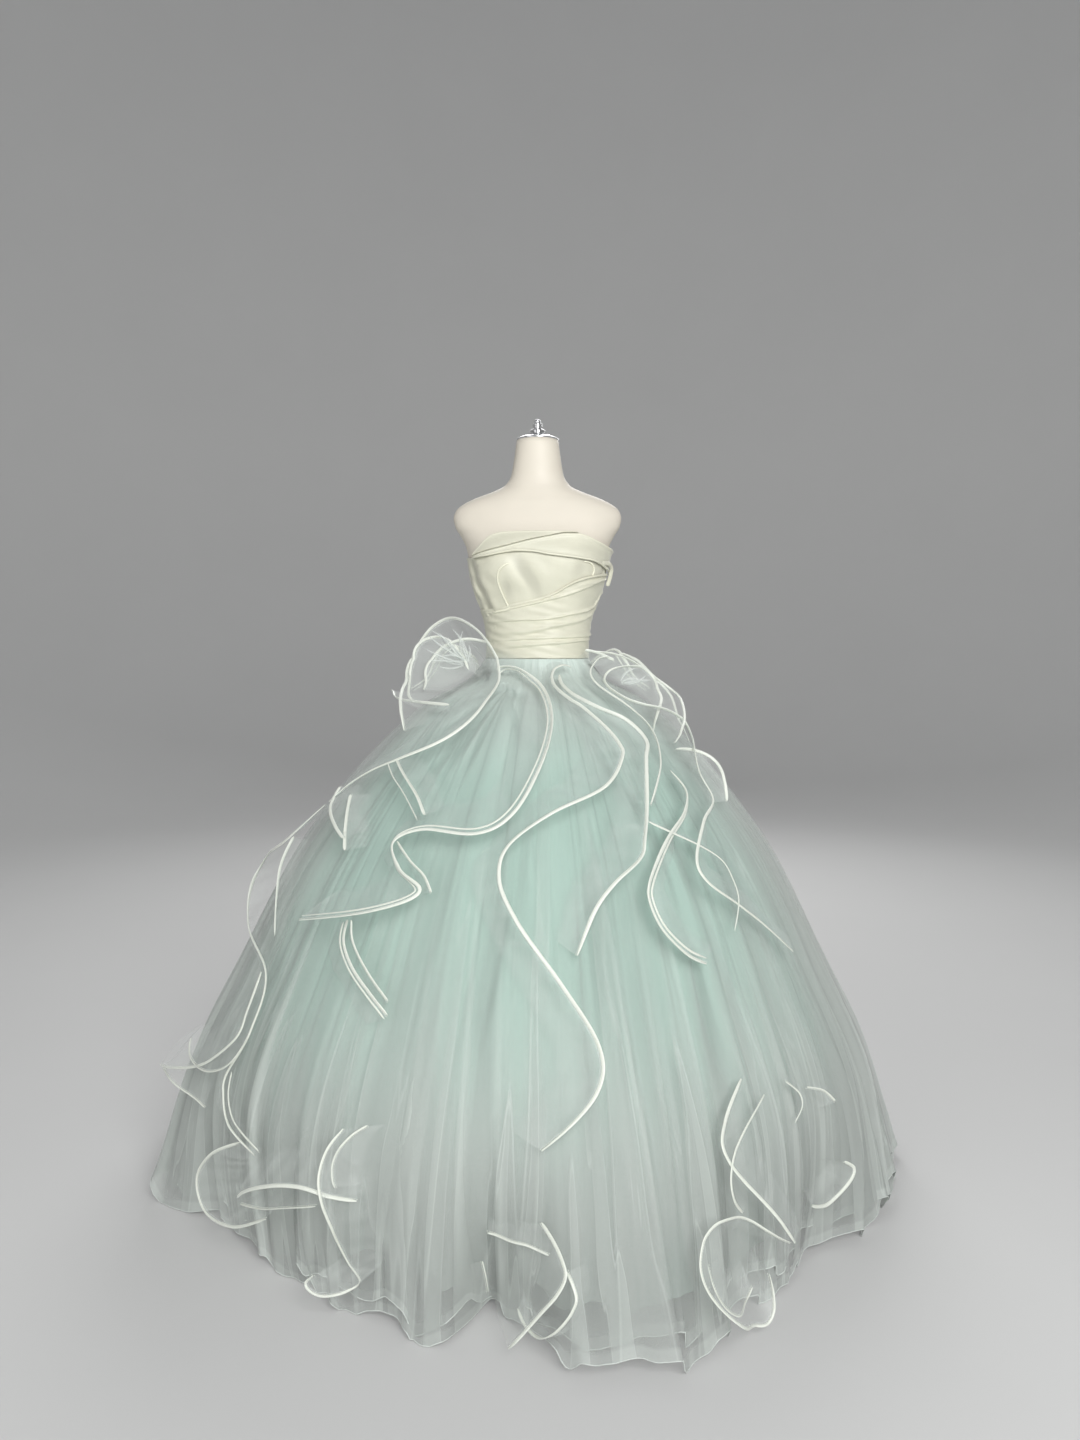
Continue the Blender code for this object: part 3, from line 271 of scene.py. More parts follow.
# ---- flounces ----
# Each row of a flounce is one bend of its bound edge: its angle and height, how
# far it stands off the skirt, and the angle and height where its seam is sewn.
FLOUNCES = flounces(left_crest=(
    (-49.5, 975, 50, -51, 985), (-50.5, 1006, 88, -53, 1010), (-56, 1038, 116, -57, 1030),
    (-68, 1066, 136, -63, 1046), (-76.5, 1092, 156, -69, 1060), (-82, 1120, 162, -73.5, 1074),
    (-84, 1150, 149, -74, 1084), (-80.7, 1187, 122, -70, 1092), (-72, 1207, 93, -64, 1098),
    (-58, 1204, 80, -58, 1100), (-42.3, 1181, 76, -53, 1099), (-30.4, 1151, 88, -48, 1094),
    (-23.4, 1115, 95, -45, 1086), (-20.5, 1078, 82, -44, 1076), (-20.5, 1042, 70, -44, 1062),
    (-22.5, 1010, 60, -45, 1048), (-26.5, 982, 52, -47, 1030), (-32, 957, 50, -48, 1010),
    (-42, 926, 50, -51, 975), (-50, 900, 50, -54, 948), (-56, 868, 50, -58, 922), (-60, 830, 50, -62, 890),
), left_fall=(
    (-61, 822, 50, -62.5, 880), (-70, 740, 52, -70, 810), (-82, 690, 55, -84, 760),
    (-84, 635, 55, -94, 660), (-70, 575, 35, -79, 565), (-52, 526, 30, -61, 500), (-48, 431, 35, -57, 430),
    (-50.5, 345, 35, -59, 348), (-49.8, 312, 35, -58, 315), (-48, 276, 34, -56, 278),
    (-45.4, 258, 33, -53, 256), (-41.5, 232, 22, -49, 226),
), left_tip=(
    (-53.5, 516, 26, -60, 535), (-51.5, 458, 34, -60, 480), (-50.5, 414, 40, -60.5, 440),
    (-55.5, 356, 45, -65, 390), (-61, 323, 50, -70, 362), (-67, 298, 56, -76, 345),
    (-75, 266, 62, -81, 330),
), left_hook=(
    (-29, 1096, 40, -24, 1084), (-26, 1102, 45, -22, 1088), (-20, 1104, 50, -19, 1090),
    (-13, 1100, 50, -16, 1087), (-5.5, 1086, 50, -13.5, 1078), (0.5, 1070, 55, -11.5, 1066),
    (3.5, 1052, 60, -10.5, 1054), (5, 1022, 60, -9.5, 1036), (4.5, 984, 60, -9, 1010),
    (1, 920, 55, -9, 955), (-5, 840, 50, -12, 890), (-12, 808, 50, -16, 862), (-24, 810, 50, -22, 850),
    (-30, 785, 50, -33, 815), (-27, 740, 40, -35, 755), (-21.5, 705, 35, -33, 722),
    (-29, 672, 55, -35, 705), (-44, 637, 60, -42, 690),
), left_mid=(
    (-36, 640, 20, -41, 625), (-34, 610, 35, -41, 590), (-30.5, 572, 35, -37, 550),
    (-26, 535, 30, -32, 510), (-22.5, 503, 20, -27, 475),
), centre_fall=(
    (26.5, 1104, 30, 24, 1114), (20.5, 1109, 40, 20, 1116), (15, 1106, 45, 15, 1115),
    (11, 1098, 45, 9, 1110), (8.8, 1083, 46, 5, 1098), (9.2, 1064, 48, 3, 1078), (13.5, 1040, 50, 5, 1050),
    (18, 1022, 52, 9, 1028), (23, 985, 58, 13, 992), (25, 954, 60, 14, 955), (24, 933, 60, 13, 930),
    (17, 885, 56, 7, 897), (4, 843, 50, 0, 865), (-5, 790, 45, -9, 795), (-6.5, 735, 40, -14, 740),
    (-3, 670, 40, -10, 665), (4.5, 570, 40, -3, 560), (9.5, 480, 50, 2, 475), (8.8, 410, 40, 2, 410),
    (1.8, 327, 20, -3, 350),
), right_inner=(
    (15.5, 1086, 28, 12.5, 1080), (14, 1073, 38, 11, 1066), (14.5, 1060, 45, 11.5, 1052),
    (17, 1045, 50, 14, 1036), (23, 1024, 58, 19, 1014), (32, 998, 60, 26, 990), (35, 962, 60, 29, 958),
    (31.5, 930, 60, 26, 928), (28, 885, 60, 21.5, 890), (23, 800, 60, 17, 805), (21, 765, 55, 14, 775),
    (15, 725, 45, 9, 740), (11, 680, 30, 6, 695), (7.5, 610, 20, 4, 630),
), right_hook=(
    (54, 1126, 75, 50, 1106), (46, 1121, 68, 48, 1098), (40, 1108, 62, 46, 1088),
    (35.5, 1092, 60, 44.5, 1076), (34.5, 1074, 60, 44, 1064), (35.5, 1050, 60, 43.5, 1046),
    (38, 1020, 65, 44, 1022), (39, 995, 70, 44, 998), (37.5, 965, 77, 42.5, 968), (34, 924, 80, 39.5, 925),
    (30.5, 893, 80, 36.5, 892), (26.5, 850, 70, 33, 845),
), right_sweep=(
    (47, 968, 18, 51, 975), (50, 995, 40, 54, 1000), (56, 1022, 62, 58, 1022), (67, 1050, 82, 62, 1042),
    (76, 1077, 112, 66, 1060), (72, 1100, 110, 64, 1078), (59.3, 1104, 90, 57, 1084),
    (47.4, 1097, 80, 51, 1080), (42, 1080, 66, 48, 1066), (39, 1060, 62, 46, 1048),
    (39.5, 1040, 68, 46, 1030), (44, 1027, 76, 49, 1012), (52, 1018, 75, 55, 1000), (60, 1003, 65, 62, 985),
    (64, 986, 58, 66, 966), (61, 958, 52, 66, 945), (54.5, 926, 50, 61, 915), (50, 892, 50, 57, 885),
    (48.5, 844, 50, 55, 830), (41, 810, 50, 46, 785), (34.5, 755, 50, 42, 745), (34.5, 715, 50, 42, 720),
    (41, 665, 40, 46, 695), (46.5, 620, 35, 51, 650), (53, 558, 30, 57, 585),
), right_fall=(
    (41, 900, 35, 44.5, 895), (41, 865, 45, 45, 860), (36.5, 830, 50, 41, 815), (30, 795, 50, 35, 780),
    (25.5, 760, 50, 32, 748), (22, 720, 50, 29, 717), (21.5, 690, 45, 28, 695), (23, 645, 40, 29.5, 655),
    (27, 600, 30, 32, 620), (31, 577, 20, 35, 600),
), right_side=(
    (72, 1132, 80, 76, 1104), (84, 1112, 104, 80, 1088), (90, 1072, 108, 82, 1066),
    (92, 1030, 66, 84, 1038), (95, 985, 30, 88, 1000), (99, 955, 22, 91, 967), (103, 930, 18, 95, 935),
    (106, 900, 16, 97, 900), (103, 840, 14, 95, 850), (104, 775, 16, 95, 780), (109, 710, 20, 101, 725),
    (110, 630, 22, 102, 640), (103, 550, 22, 95, 560), (99, 470, 22, 91, 475), (106, 400, 18, 99, 410),
), right_low_fall=(
    (32, 388, 16, 34, 389), (29, 362, 26, 33.4, 366), (27, 340, 34, 32.8, 346), (25.6, 316, 40, 32.5, 325),
    (26, 289, 45, 32.5, 298), (27.8, 256, 48, 33.2, 272), (30.2, 219, 50, 34.6, 244),
    (32.7, 178, 52, 36.6, 210), (35.3, 127, 50, 39, 165),
), right_low_loop=(
    (34.6, 126, 46, 31.5, 124), (32.5, 144, 50, 30.5, 134), (30.5, 164, 50, 29.5, 142),
    (28.2, 187, 48, 28.6, 148), (25.5, 204, 46, 27.8, 150), (23, 210, 44, 26.8, 150),
    (21, 200, 44, 25.8, 147), (20, 182, 45, 25.2, 140), (19.5, 158, 48, 25, 131), (20, 130, 51, 25.2, 120),
    (21.4, 101, 56, 25.8, 108), (23.4, 72, 62, 26.6, 98), (25.6, 46, 68, 27.2, 94), (27.6, 30, 72, 28, 92),
    (29.2, 26, 74, 29, 93), (30.3, 40, 70, 29.8, 97), (30.8, 64, 60, 30.4, 104), (31, 88, 48, 30.8, 112),
), left_low_loop=(
    (-45.4, 236, 20, -41, 238), (-51, 195, 40, -42.6, 214), (-55.3, 128, 50, -44.8, 180),
    (-53.5, 76, 52, -44, 160), (-45, 90, 50, -40.6, 153), (-36.8, 144, 40, -36.3, 171),
), left_low_band=(
    (-44, 150, 40, -43, 215), (-41.5, 174, 46, -40.5, 235), (-38, 200, 50, -37.8, 259),
    (-34, 222, 50, -34.2, 275), (-31, 232, 48, -31.5, 282), (-28.5, 235, 46, -29.5, 281),
    (-25.5, 229, 38, -27, 274), (-22, 224, 22, -23.5, 262),
), left_low_fall=(
    (-25.5, 324, 14, -20.3, 337), (-26.5, 295, 34, -20.4, 305), (-26.6, 255, 46, -20, 270),
    (-25.9, 215, 45, -19.8, 235), (-25, 170, 32, -19.6, 195), (-24.8, 135, 16, -19.6, 165),
    (-23.8, 100, 6, -19.4, 140), (-21.8, 78, 10, -18.6, 118), (-23, 69, 32, -19.6, 110),
    (-26, 59, 50, -21.5, 105), (-28.2, 67, 53, -23.2, 108), (-27.4, 84, 46, -23.8, 118),
), centre_low_fall=(
    (1.9, 214, 15, -2.2, 200), (3.2, 198, 28, -2, 186), (4.1, 180, 40, -1.8, 166),
    (4.4, 162, 46, -1.8, 152), (3.6, 138, 52, -1.8, 132), (2, 106, 62, -2.4, 106), (0.2, 70, 80, -3.2, 78),
    (-1.6, 34, 100, -4.6, 50),
), centre_low_loop=(
    (4.9, 166, 34, 7.4, 168), (5.4, 154, 40, 7.8, 156), (5.8, 135, 44, 8, 136), (5.4, 117, 44, 7.8, 120),
    (4.6, 97, 44, 7.2, 104), (3.5, 74, 44, 6.2, 84), (2.4, 57, 42, 4.6, 72), (1.3, 49, 38, 2.6, 68),
    (0.2, 51, 30, 1, 72), (-0.6, 62, 20, 0, 84),
), back_left=(
    (-100, 1050, 90, -112, 1060), (-104, 1120, 120, -116, 1085), (-124, 1150, 120, -121, 1098),
    (-142, 1100, 100, -126, 1070), (-141, 1020, 70, -128, 1030), (-134, 950, 50, -124, 950),
    (-128, 860, 50, -119, 865), (-134, 770, 50, -125, 780), (-146, 700, 50, -136, 710),
    (-149, 600, 50, -139, 600), (-140, 520, 50, -131, 510), (-132, 420, 50, -124, 415),
    (-138, 330, 40, -130, 340), (-149, 260, 30, -141, 275),
), back_right=(
    (112, 1050, 80, 120, 1060), (114, 1110, 100, 124, 1085), (130, 1140, 110, 128, 1098),
    (150, 1090, 100, 132, 1070), (150, 1010, 70, 137, 1020), (142, 930, 50, 132, 935),
    (134, 850, 50, 125, 855), (139, 760, 50, 130, 765), (150, 680, 50, 141, 690), (155, 590, 50, 146, 590),
    (147, 500, 50, 138, 495), (138, 410, 50, 130, 405), (143, 320, 40, 135, 330), (154, 250, 30, 146, 265),
))
# Narrow trims that lie between and under the flounces.
TRIMS = flounces(left_strand=(
    (-65.5, 752, 50, -68.5, 740), (-61.5, 708, 55, -66, 700), (-57, 658, 50, -62, 648),
    (-53, 586, 34, -57.5, 580),
), left_inner_loop=(
    (-60, 1030, 60, -56, 1040), (-68, 1050, 95, -57, 1052), (-74, 1080, 140, -57, 1064),
    (-78, 1115, 160, -57, 1074), (-79, 1142, 158, -56, 1082), (-77.5, 1160, 140, -54, 1088),
    (-72.5, 1167, 114, -53, 1092), (-64.5, 1160, 96, -51, 1092), (-55.5, 1140, 90, -49, 1090),
    (-47.5, 1116, 88, -46, 1082), (-44, 1099, 78, -44, 1074),
), left_second_loop=(
    (-60, 1055, 86, -52, 1050), (-65.5, 1088, 124, -53, 1062), (-66.3, 1116, 133, -52, 1072),
    (-64, 1140, 118, -50, 1082), (-57.8, 1155, 100, -47, 1088), (-49, 1162, 80, -43, 1092),
    (-37.2, 1155, 61, -38, 1090),
), left_crossing=(
    (-85.5, 1050, 120, -82, 1040), (-81, 1046, 108, -79, 1032), (-76, 1038, 92, -75, 1022),
    (-70.7, 1031, 72, -70, 1012), (-60.4, 1028, 56, -60, 1006), (-51, 1026, 46, -51, 1004),
    (-40, 1024, 36, -40, 1004),
), left_strap_upper=(
    (-42.5, 922, 48, -40, 930), (-37.5, 903, 50, -35, 914), (-32.5, 882, 50, -30, 894),
    (-28.5, 860, 48, -26, 870), (-25, 832, 46, -22.5, 842),
), left_strap_lower=(
    (-44.5, 912, 50, -46.5, 902), (-39.5, 892, 52, -41.5, 880), (-34.5, 872, 52, -36.5, 860),
    (-30.5, 850, 50, -32.5, 840), (-26.5, 823, 48, -28.5, 814),
), left_small_loop=(
    (-60.5, 858, 46, -57.5, 862), (-57, 824, 50, -53, 830), (-49.5, 796, 50, -46.5, 806),
    (-44.5, 778, 46, -42, 790),
), left_small_band=(
    (-53.5, 848, 38, -50.5, 850), (-48, 806, 40, -45, 810), (-43, 756, 36, -40, 762),
), left_fall_end=(
    (-49.9, 350, 28, -53.5, 352), (-49.3, 314, 28, -53, 316), (-47.4, 281, 27, -51.2, 280),
    (-44.9, 263, 25, -48.6, 256), (-41, 238, 16, -44, 230),
), left_tip_under=(
    (-74.5, 264, 56, -76, 300), (-69, 268, 46, -71, 300), (-63.5, 262, 34, -66, 296),
    (-58, 252, 20, -60.5, 284),
), left_tip_inner=(
    (-68, 348, 36, -71, 372), (-62, 334, 48, -65, 362), (-54.5, 342, 50, -58, 372),
    (-49, 372, 48, -53, 396), (-47.5, 418, 38, -52, 432),
), left_hook_inner=(
    (-29.5, 782, 42, -32.5, 772), (-25, 752, 38, -29, 744), (-21.5, 730, 32, -25.5, 722),
    (-19.5, 702, 22, -23, 694),
), left_mid_inner=(
    (-33, 648, 44, -36, 640), (-31.5, 614, 40, -35, 604), (-27.5, 568, 30, -31, 558),
    (-23, 524, 18, -26.5, 514),
), right_strand=(
    (26, 820, 46, 25, 836), (30.5, 800, 48, 30, 818), (36.5, 772, 48, 37, 790), (40.5, 744, 48, 42.5, 758),
    (41.5, 710, 46, 44.5, 716), (41, 672, 44, 44, 672), (38.5, 622, 32, 41.5, 618),
), right_outer_loop=(
    (53.4, 1136, 22, 58, 1110), (60, 1134, 42, 64, 1108), (66, 1131, 62, 68, 1104),
    (72, 1121, 88, 72, 1096), (77.6, 1104, 102, 74, 1086), (81.5, 1088, 112, 76, 1074),
    (83.5, 1066, 110, 77, 1060), (82, 1045, 96, 76, 1042), (75.2, 1028, 84, 71, 1020),
    (67, 1009, 76, 65, 1002), (60.5, 991, 70, 61, 986), (56, 978, 64, 59, 974), (53, 965, 56, 57, 964),
    (50.4, 950, 40, 55, 952),
), right_waist_band=(
    (49, 1138, 22, 49, 1124), (54, 1135, 34, 53, 1118), (60, 1128, 48, 58, 1112), (66, 1116, 64, 62, 1100),
), right_small_loop=(
    (52.5, 935, 20, 55, 925), (54.5, 934, 30, 55.5, 916), (57, 931, 38, 56, 906), (59, 926, 46, 57, 898),
    (60.2, 918, 54, 57.5, 890), (60.6, 906, 58, 57.5, 880), (59.8, 891, 58, 56.5, 869),
    (58.8, 873, 52, 55.5, 857), (58, 852, 42, 55, 842), (57.5, 832, 30, 55, 828),
), right_low_inner=(
    (35, 358, 22, 38.5, 362), (30, 326, 36, 34, 330), (26.8, 294, 46, 30.5, 298),
    (25.6, 262, 48, 29.2, 262), (26, 230, 46, 29.5, 226), (28, 198, 36, 31, 192),
), right_loop_inner=(
    (21, 154, 34, 24.6, 140), (21.2, 126, 40, 24.8, 120), (22.1, 98, 46, 25.2, 108),
    (23.6, 78, 50, 26, 100), (25.6, 64, 52, 27, 98), (27.4, 62, 50, 28.2, 100), (28.8, 72, 42, 29, 106),
), right_low_wave=(
    (40, 368, 22, 43, 372), (41.8, 345, 28, 45, 348), (41.8, 322, 28, 45, 320), (40, 300, 22, 43, 296),
), right_low_curl=(
    (44.5, 340, 20, 44, 324), (47.5, 326, 28, 46.5, 308), (50, 298, 28, 48, 286),
), right_hem_curl=(
    (42, 146, 28, 43, 166), (46, 130, 38, 46, 156), (49.5, 146, 44, 48, 168), (51.5, 170, 44, 49, 182),
    (50, 190, 38, 48, 194),
), left_low_inner=(
    (-44, 134, 34, -42, 154), (-37.5, 160, 42, -36, 180), (-32, 188, 46, -31, 206),
    (-27, 210, 46, -26.5, 226),
), left_low_curve=(
    (-22, 334, 10, -18.5, 342), (-23.8, 318, 18, -20.5, 324), (-25.1, 296, 25, -21.8, 298),
    (-25.5, 274, 30, -22.2, 275), (-25.2, 252, 32, -22, 252), (-24.8, 240, 30, -21.8, 240),
), centre_low_curl=(
    (-6, 116, 12, -7.5, 118), (-5.5, 82, 20, -7.2, 82), (-5.4, 48, 14, -7.2, 50),
), centre_low_band=(
    (-5, 176, 16, -5, 194), (-2, 177, 22, -2, 196), (0, 180, 22, 0, 198), (1.5, 178, 20, 1.5, 196),
    (3, 172, 12, 3, 190),
))
# Where a second, thinner edge shows beside the first, and how far in it lies.
DOUBLE_EDGES = dict(
    left_hook=0.011, left_mid=0.012, right_fall=0.012, back_left=0.012, back_right=0.012,
)
# Edges that look bolder or finer than the rest.
EDGE_SHARES = dict(
    left_fall=1.15, left_fall_end=0.9, left_tip=0.8, left_tip_inner=0.5, left_tip_under=0.5,
    left_hook_inner=0.8, left_mid_inner=0.8, left_low_loop=0.9, left_low_inner=0.9, left_low_band=1.2,
    left_low_fall=0.8, left_low_curve=0.7, centre_low_loop=0.85, centre_low_band=0.75, centre_low_curl=0.45,
    right_fall=1.25, right_inner=1.1, right_outer_loop=0.8, right_strand=0.8, right_low_inner=0.95,
    right_low_fall=1.1, right_low_loop=0.8, right_loop_inner=0.5, right_low_wave=0.7, right_low_curl=0.75,
)
# Folded ends of organza inside the loops: their root, and each one's turn above
# the horizontal towards +X and its length.
FANS = table(
    "name root turns lengths",
    ("left_fan", (-0.152, -0.110, 1.112),
     (186, 178, 171, 165, 158, 152, 146, 141, 136, 131, 125, 118, 108, 95, 82),
     (0.062, 0.088, 0.06, 0.074, 0.098, 0.066, 0.102, 0.078, 0.106, 0.094, 0.07, 0.084, 0.06, 0.072, 0.042)),
    ("right_fan", (0.180, -0.130, 1.072), (-4, 7, 21, 38), (0.050, 0.066, 0.058, 0.044)),
)
FAN_WIDTH = 0.0050
# How trims, and pieces near the hem, differ from the flounces.
TRIM_RIPPLE = 0.4
TRIM_SHARE = 0.92
LOW_SHARE = 0.80
CLOTH_DEPTH = 0.09
THREAD = 0.0007
TIP_GIRTH = 0.35
TIP_SWELL = 12

# ---- how finely the pieces are made ----
SKIRT_COLUMNS = 756
SKIRT_ROWS = 84
WAIST_ROWS = 20
WAIST_SHARE = 0.11
ROW_CROWDING = 0.92
BODICE_ROWS = 60
COLUMN_DEGREES = 1.5
FORM_COLUMNS = 128
TURNED_COLUMNS = 72
TURNED_GIRTH = 0.3
FLOUNCE_STEPS = 12
TRIM_STEPS = 8
FLOUNCE_ACROSS = 10
SATIN_SHELL = 0.0012
SHARP_EDGE = 50

# ---- the skirt's layers ----
# How far in each hangs, where its hem is cut, how much its pleats are sunk,
# and how its cloth gathers.
SKIRT_LAYERS = table(
    "name out hem depth knife pleats fine crease around seed density",
    ("skirt_mint", -0.022, 0.075, 0.50, 0.008, 31, 0.0100, 0.0050, 4.5, 3.0, None),
    ("skirt_veil_inner", -0.004, 0.030, 0.45, 0.016, 41, 0.0040, 0.0015, 5.0, 11.0, 0.13),
    ("skirt_veil_outer", 0.004, 0.000, 0.45, 0.018, 30, 0.0040, 0.0010, 5.5, 23.0, 0.12),
)
HEM_FLARE = 0.026
HEM_STEP = 0.040
# The clear layers stand up in a mist of net at the waist.
WAIST_MIST = 0.034
MIST_ANGLE = -44
MIST_SPREAD = 30
# Tucks pressed into the skirt's layers: each from its head to its tail, with its
# width in degrees and its depth.
TUCKS = table(
    "angle height end_angle end_height width depth",
    (-20, 1.072, -39, 0.85, 1.5, 0.01), (-20.5, 1.066, -31, 0.88, 1.2, 0.009),
    (-22, 1.068, -47, 0.94, 1.6, 0.01), (-19, 1.064, -24, 0.86, 1.1, 0.007),
    (-17, 1.062, -5, 0.96, 1.3, 0.006), (-26, 1.05, -35, 0.93, 1, 0.007),
    (32.5, 0.61, 31.5, 0.33, 0.9, 0.018), (22, 0.98, 31, 0.8, 1.3, 0.008), (-4, 0.72, -9, 0.42, 1.2, 0.01),
    (12, 0.76, 14, 0.48, 1.3, 0.009), (-57, 0.64, -60, 0.38, 1.4, 0.01), (52, 0.76, 56, 0.5, 1.6, 0.01),
    (-120, 1.02, -132, 0.76, 1.6, 0.01), (128, 1.01, 122, 0.74, 1.6, 0.01),
    (-165, 0.7, -168, 0.4, 1.5, 0.012), (163, 0.82, 171, 0.52, 1.5, 0.011),
)
# Soft rolls of cloth pinched up where a flounce is caught at the waist.
PINCHES = table(
    "angle height spread tall slope rise",
    (-26, 1.073, 13, 0.0085, -0.0006, 0.015), (-13, 1.059, 7, 0.007, -0.0009, 0.01),
    (-36, 1.056, 7, 0.007, 0.0008, 0.007), (24, 1.064, 8, 0.007, 0.0006, 0.006),
    (118, 1.066, 9, 0.008, 0.0005, 0.008), (-124, 1.062, 9, 0.008, -0.0005, 0.008),
)

# ---- studio ----
FLOOR_RINGS = (0.001, 1.0, 2.0, 3.0, 4.5)
FLOOR_RADIUS = 5.0
WALL_BEND = 3.0
WALL_TOP = 9.0
WORLD_COLOUR = (0.92, 0.95, 1.0, 1.0)
WORLD_STRENGTH = 0.20
LAMPS = table(
    "name place aim size power",
    ("key_lamp", (1.1, -4.3, 2.8), (0.0, 0.0, 0.95), 2.6, 188.0),
    ("fill_lamp", (-2.8, -3.6, 1.9), (0.0, 0.0, 0.80), 3.2, 36.0),
    ("rear_lamp", (0.4, 3.4, 3.4), (0.0, 0.0, 0.9), 3.0, 90.0),
)
CAMERA_LENS = 27.05
CAMERA_PLACE = (0.0056, -2.451, 1.140)
CAMERA_DIP = 3.69


# ---- reading the tables ----
def read_table(rows, key_name, column, at):
    """The smooth value of one column of a table at many keys; it never overshoots."""
    ordered = sorted(rows, key=lambda row: getattr(row, key_name))
    keys = np.array([getattr(row, key_name) for row in ordered], float)
    values = np.array([getattr(row, column) for row in ordered], float)
    steps = np.diff(values) / np.diff(keys)
    product, total = steps[:-1] * steps[1:], steps[:-1] + steps[1:]
    middle = np.where(product > 0, 2 * product / np.where(total == 0, 1, total), 0.0)
    tangents = np.concatenate((steps[:1], middle, steps[-1:]))
    at = np.clip(at, keys[0], keys[-1])
    i = np.clip(np.searchsorted(keys, at, side="right") - 1, 0, len(keys) - 2)
    span = keys[i + 1] - keys[i]
    t = (at - keys[i]) / span
    return ((2 * t ** 3 - 3 * t ** 2 + 1) * values[i] + (t ** 3 - 2 * t ** 2 + t) * span * tangents[i]
            + (3 * t ** 2 - 2 * t ** 3) * values[i + 1] + (t ** 3 - t ** 2) * span * tangents[i + 1])


def spline(rows, steps):
    """Rows read along a smooth curve through a table, steps to each bend."""
    points = np.array(rows, float)
    ends = np.vstack((points[:1], points, points[-1:]))
    t = (np.arange(steps) / steps)[:, None]
    parts = []
    for i in range(len(points) - 1):
        a, b, c, d = ends[i:i + 4]
        parts.append(0.5 * (2 * b + (c - a) * t + (2 * a - 5 * b + 4 * c - d) * t ** 2
                            + (3 * b - 3 * c + d - a) * t ** 3))
    return np.vstack(parts + [points[-1:]])


def wander(waves, turn):
    """A slow change round the skirt, so that its pleats aren't all alike."""
    return sum(wave.size * np.sin(wave.count * turn + wave.start) for wave in waves)


def window(value, centre, width):
    """A soft bump, 1 at its centre."""
    return np.exp(-((value - centre) / width) ** 2)


def smoothstep(value, low, high):
    """0 below low, 1 above high and smooth in between."""
    t = np.clip((value - low) / (high - low), 0, 1)
    return t * t * (3 - 2 * t)


def wrap(angle):
    """An angle between -180 and 180 degrees."""
    return (angle + 180) % 360 - 180


def together(*columns):
    """Columns of values joined as the places of a grid."""
    return np.stack(np.broadcast_arrays(*columns), axis=-1)


def steps_of(points, axis=0):
    """The distances from each point to the next."""
    return np.linalg.norm(np.diff(points, axis=axis), axis=-1)


def distances(steps):
    """How far along each point lies, from the steps between the points."""
    return np.concatenate(([0], np.cumsum(steps)))


def come_round(points):
    """A closed grid with its first column again at its end."""
    return np.concatenate((points, points[:, :1]), axis=1)


def unit(vectors):
    """Vectors made one metre long."""
    return vectors / np.maximum(np.linalg.norm(vectors, axis=-1, keepdims=True), 1e-9)


def smoothed(values, times):
    """A run of vectors with its small kinks evened out."""
    for _ in range(times):
        middle = (values[:-2] + 2 * values[1:-1] + values[2:]) / 4
        values = np.vstack((values[:1], middle, values[-1:]))
    return values


# ---- the two surfaces everything is laid out on ----
def bust(angle, height):
    """How far the bust stands forward of the plain torso."""
    wide = window(angle, -BUST_ANGLE, BUST_SPREAD) + window(angle, BUST_ANGLE, BUST_SPREAD)
    return BUST_RISE * window(height, BUST_HEIGHT, BUST_TALL) * wide


def body_point(angle, height, out):
    """Points on the dress form, moved outwards by out."""
    angle, height, out = np.broadcast_arrays(angle, height, out)
    wrapped = wrap(angle)
    turn = np.radians(wrapped)
    width = read_table(BODY, "height", "half_width", height)
    depth = np.where(np.abs(wrapped) < 90, read_table(BODY, "height", "front", height),
                     read_table(BODY, "height", "back", height))
    across, along = np.sin(turn) / width, -np.cos(turn) / depth
    length = np.hypot(across, along)
    out = out + bust(wrapped, height)
    return together(width * np.sin(turn) + across / length * out,
                    -depth * np.cos(turn) + along / length * out, height)


def skirt_place(angle, height, out):
    """Points over the skirt, whose axis leans a little at the hem, moved outwards by out."""
    angle, height, out = np.broadcast_arrays(angle, height, out)
    turn = np.radians(angle)
    lobe = read_table(HEM_LOBES, "angle", "reach", wrap(angle))
    strength = np.maximum(1 - np.maximum(height, 0) / LOBE_TOP, 0) ** LOBE_CURVE
    radius = read_table(SKIRT, "height", "radius", height) * (1 + (lobe - 1) * strength) + out
    oval = 1 + (WAIST_OVAL - 1) * np.clip((height - ROUND_BELOW) / (WAIST_HEIGHT - ROUND_BELOW), 0, 1)
    centre = HEM_SHIFT * (1 - np.minimum(height / WAIST_HEIGHT, 1))
    return together(centre + radius * np.sin(turn), -radius * oval * np.cos(turn), height)


def crumple(angle, height):
    """Soft hollows and wrinkles of the satin bodice, in metres."""
    relief = FINE_RELIEF * np.sin(np.radians(angle) * 9 + height * 60) * np.sin(height * 95 + 1)
    for dent in DENTS:
        leaning = angle + (height - dent.pivot) * dent.lean
        relief += dent.rise * window(leaning, dent.angle, dent.width) * window(height, dent.height, dent.tall)
    for wrinkle in WRINKLES:
        where = window(angle, wrinkle.angle, wrinkle.width) * window(height, wrinkle.height, wrinkle.tall)
        waves = np.radians(angle) * wrinkle.round_waves + (height - WRINKLE_LEVEL) * wrinkle.upward_waves
        relief += wrinkle.rise * where * np.sin(waves)
    return np.where(relief < 0, DEEPEST_HOLLOW * np.tanh(relief / DEEPEST_HOLLOW), relief)


# ---- meshes ----
def keep_values(mesh, **values):
    """Keep a number or a vector for each point of a mesh, for its trees and its material."""
    for name, value in values.items():
        flat = np.asarray(value, np.float32).ravel()
        kind, field = ("FLOAT", "value") if len(flat) == len(mesh.vertices) else ("FLOAT_VECTOR", "vector")
        mesh.attributes.new(name, kind, "POINT").data.foreach_set(field, flat)


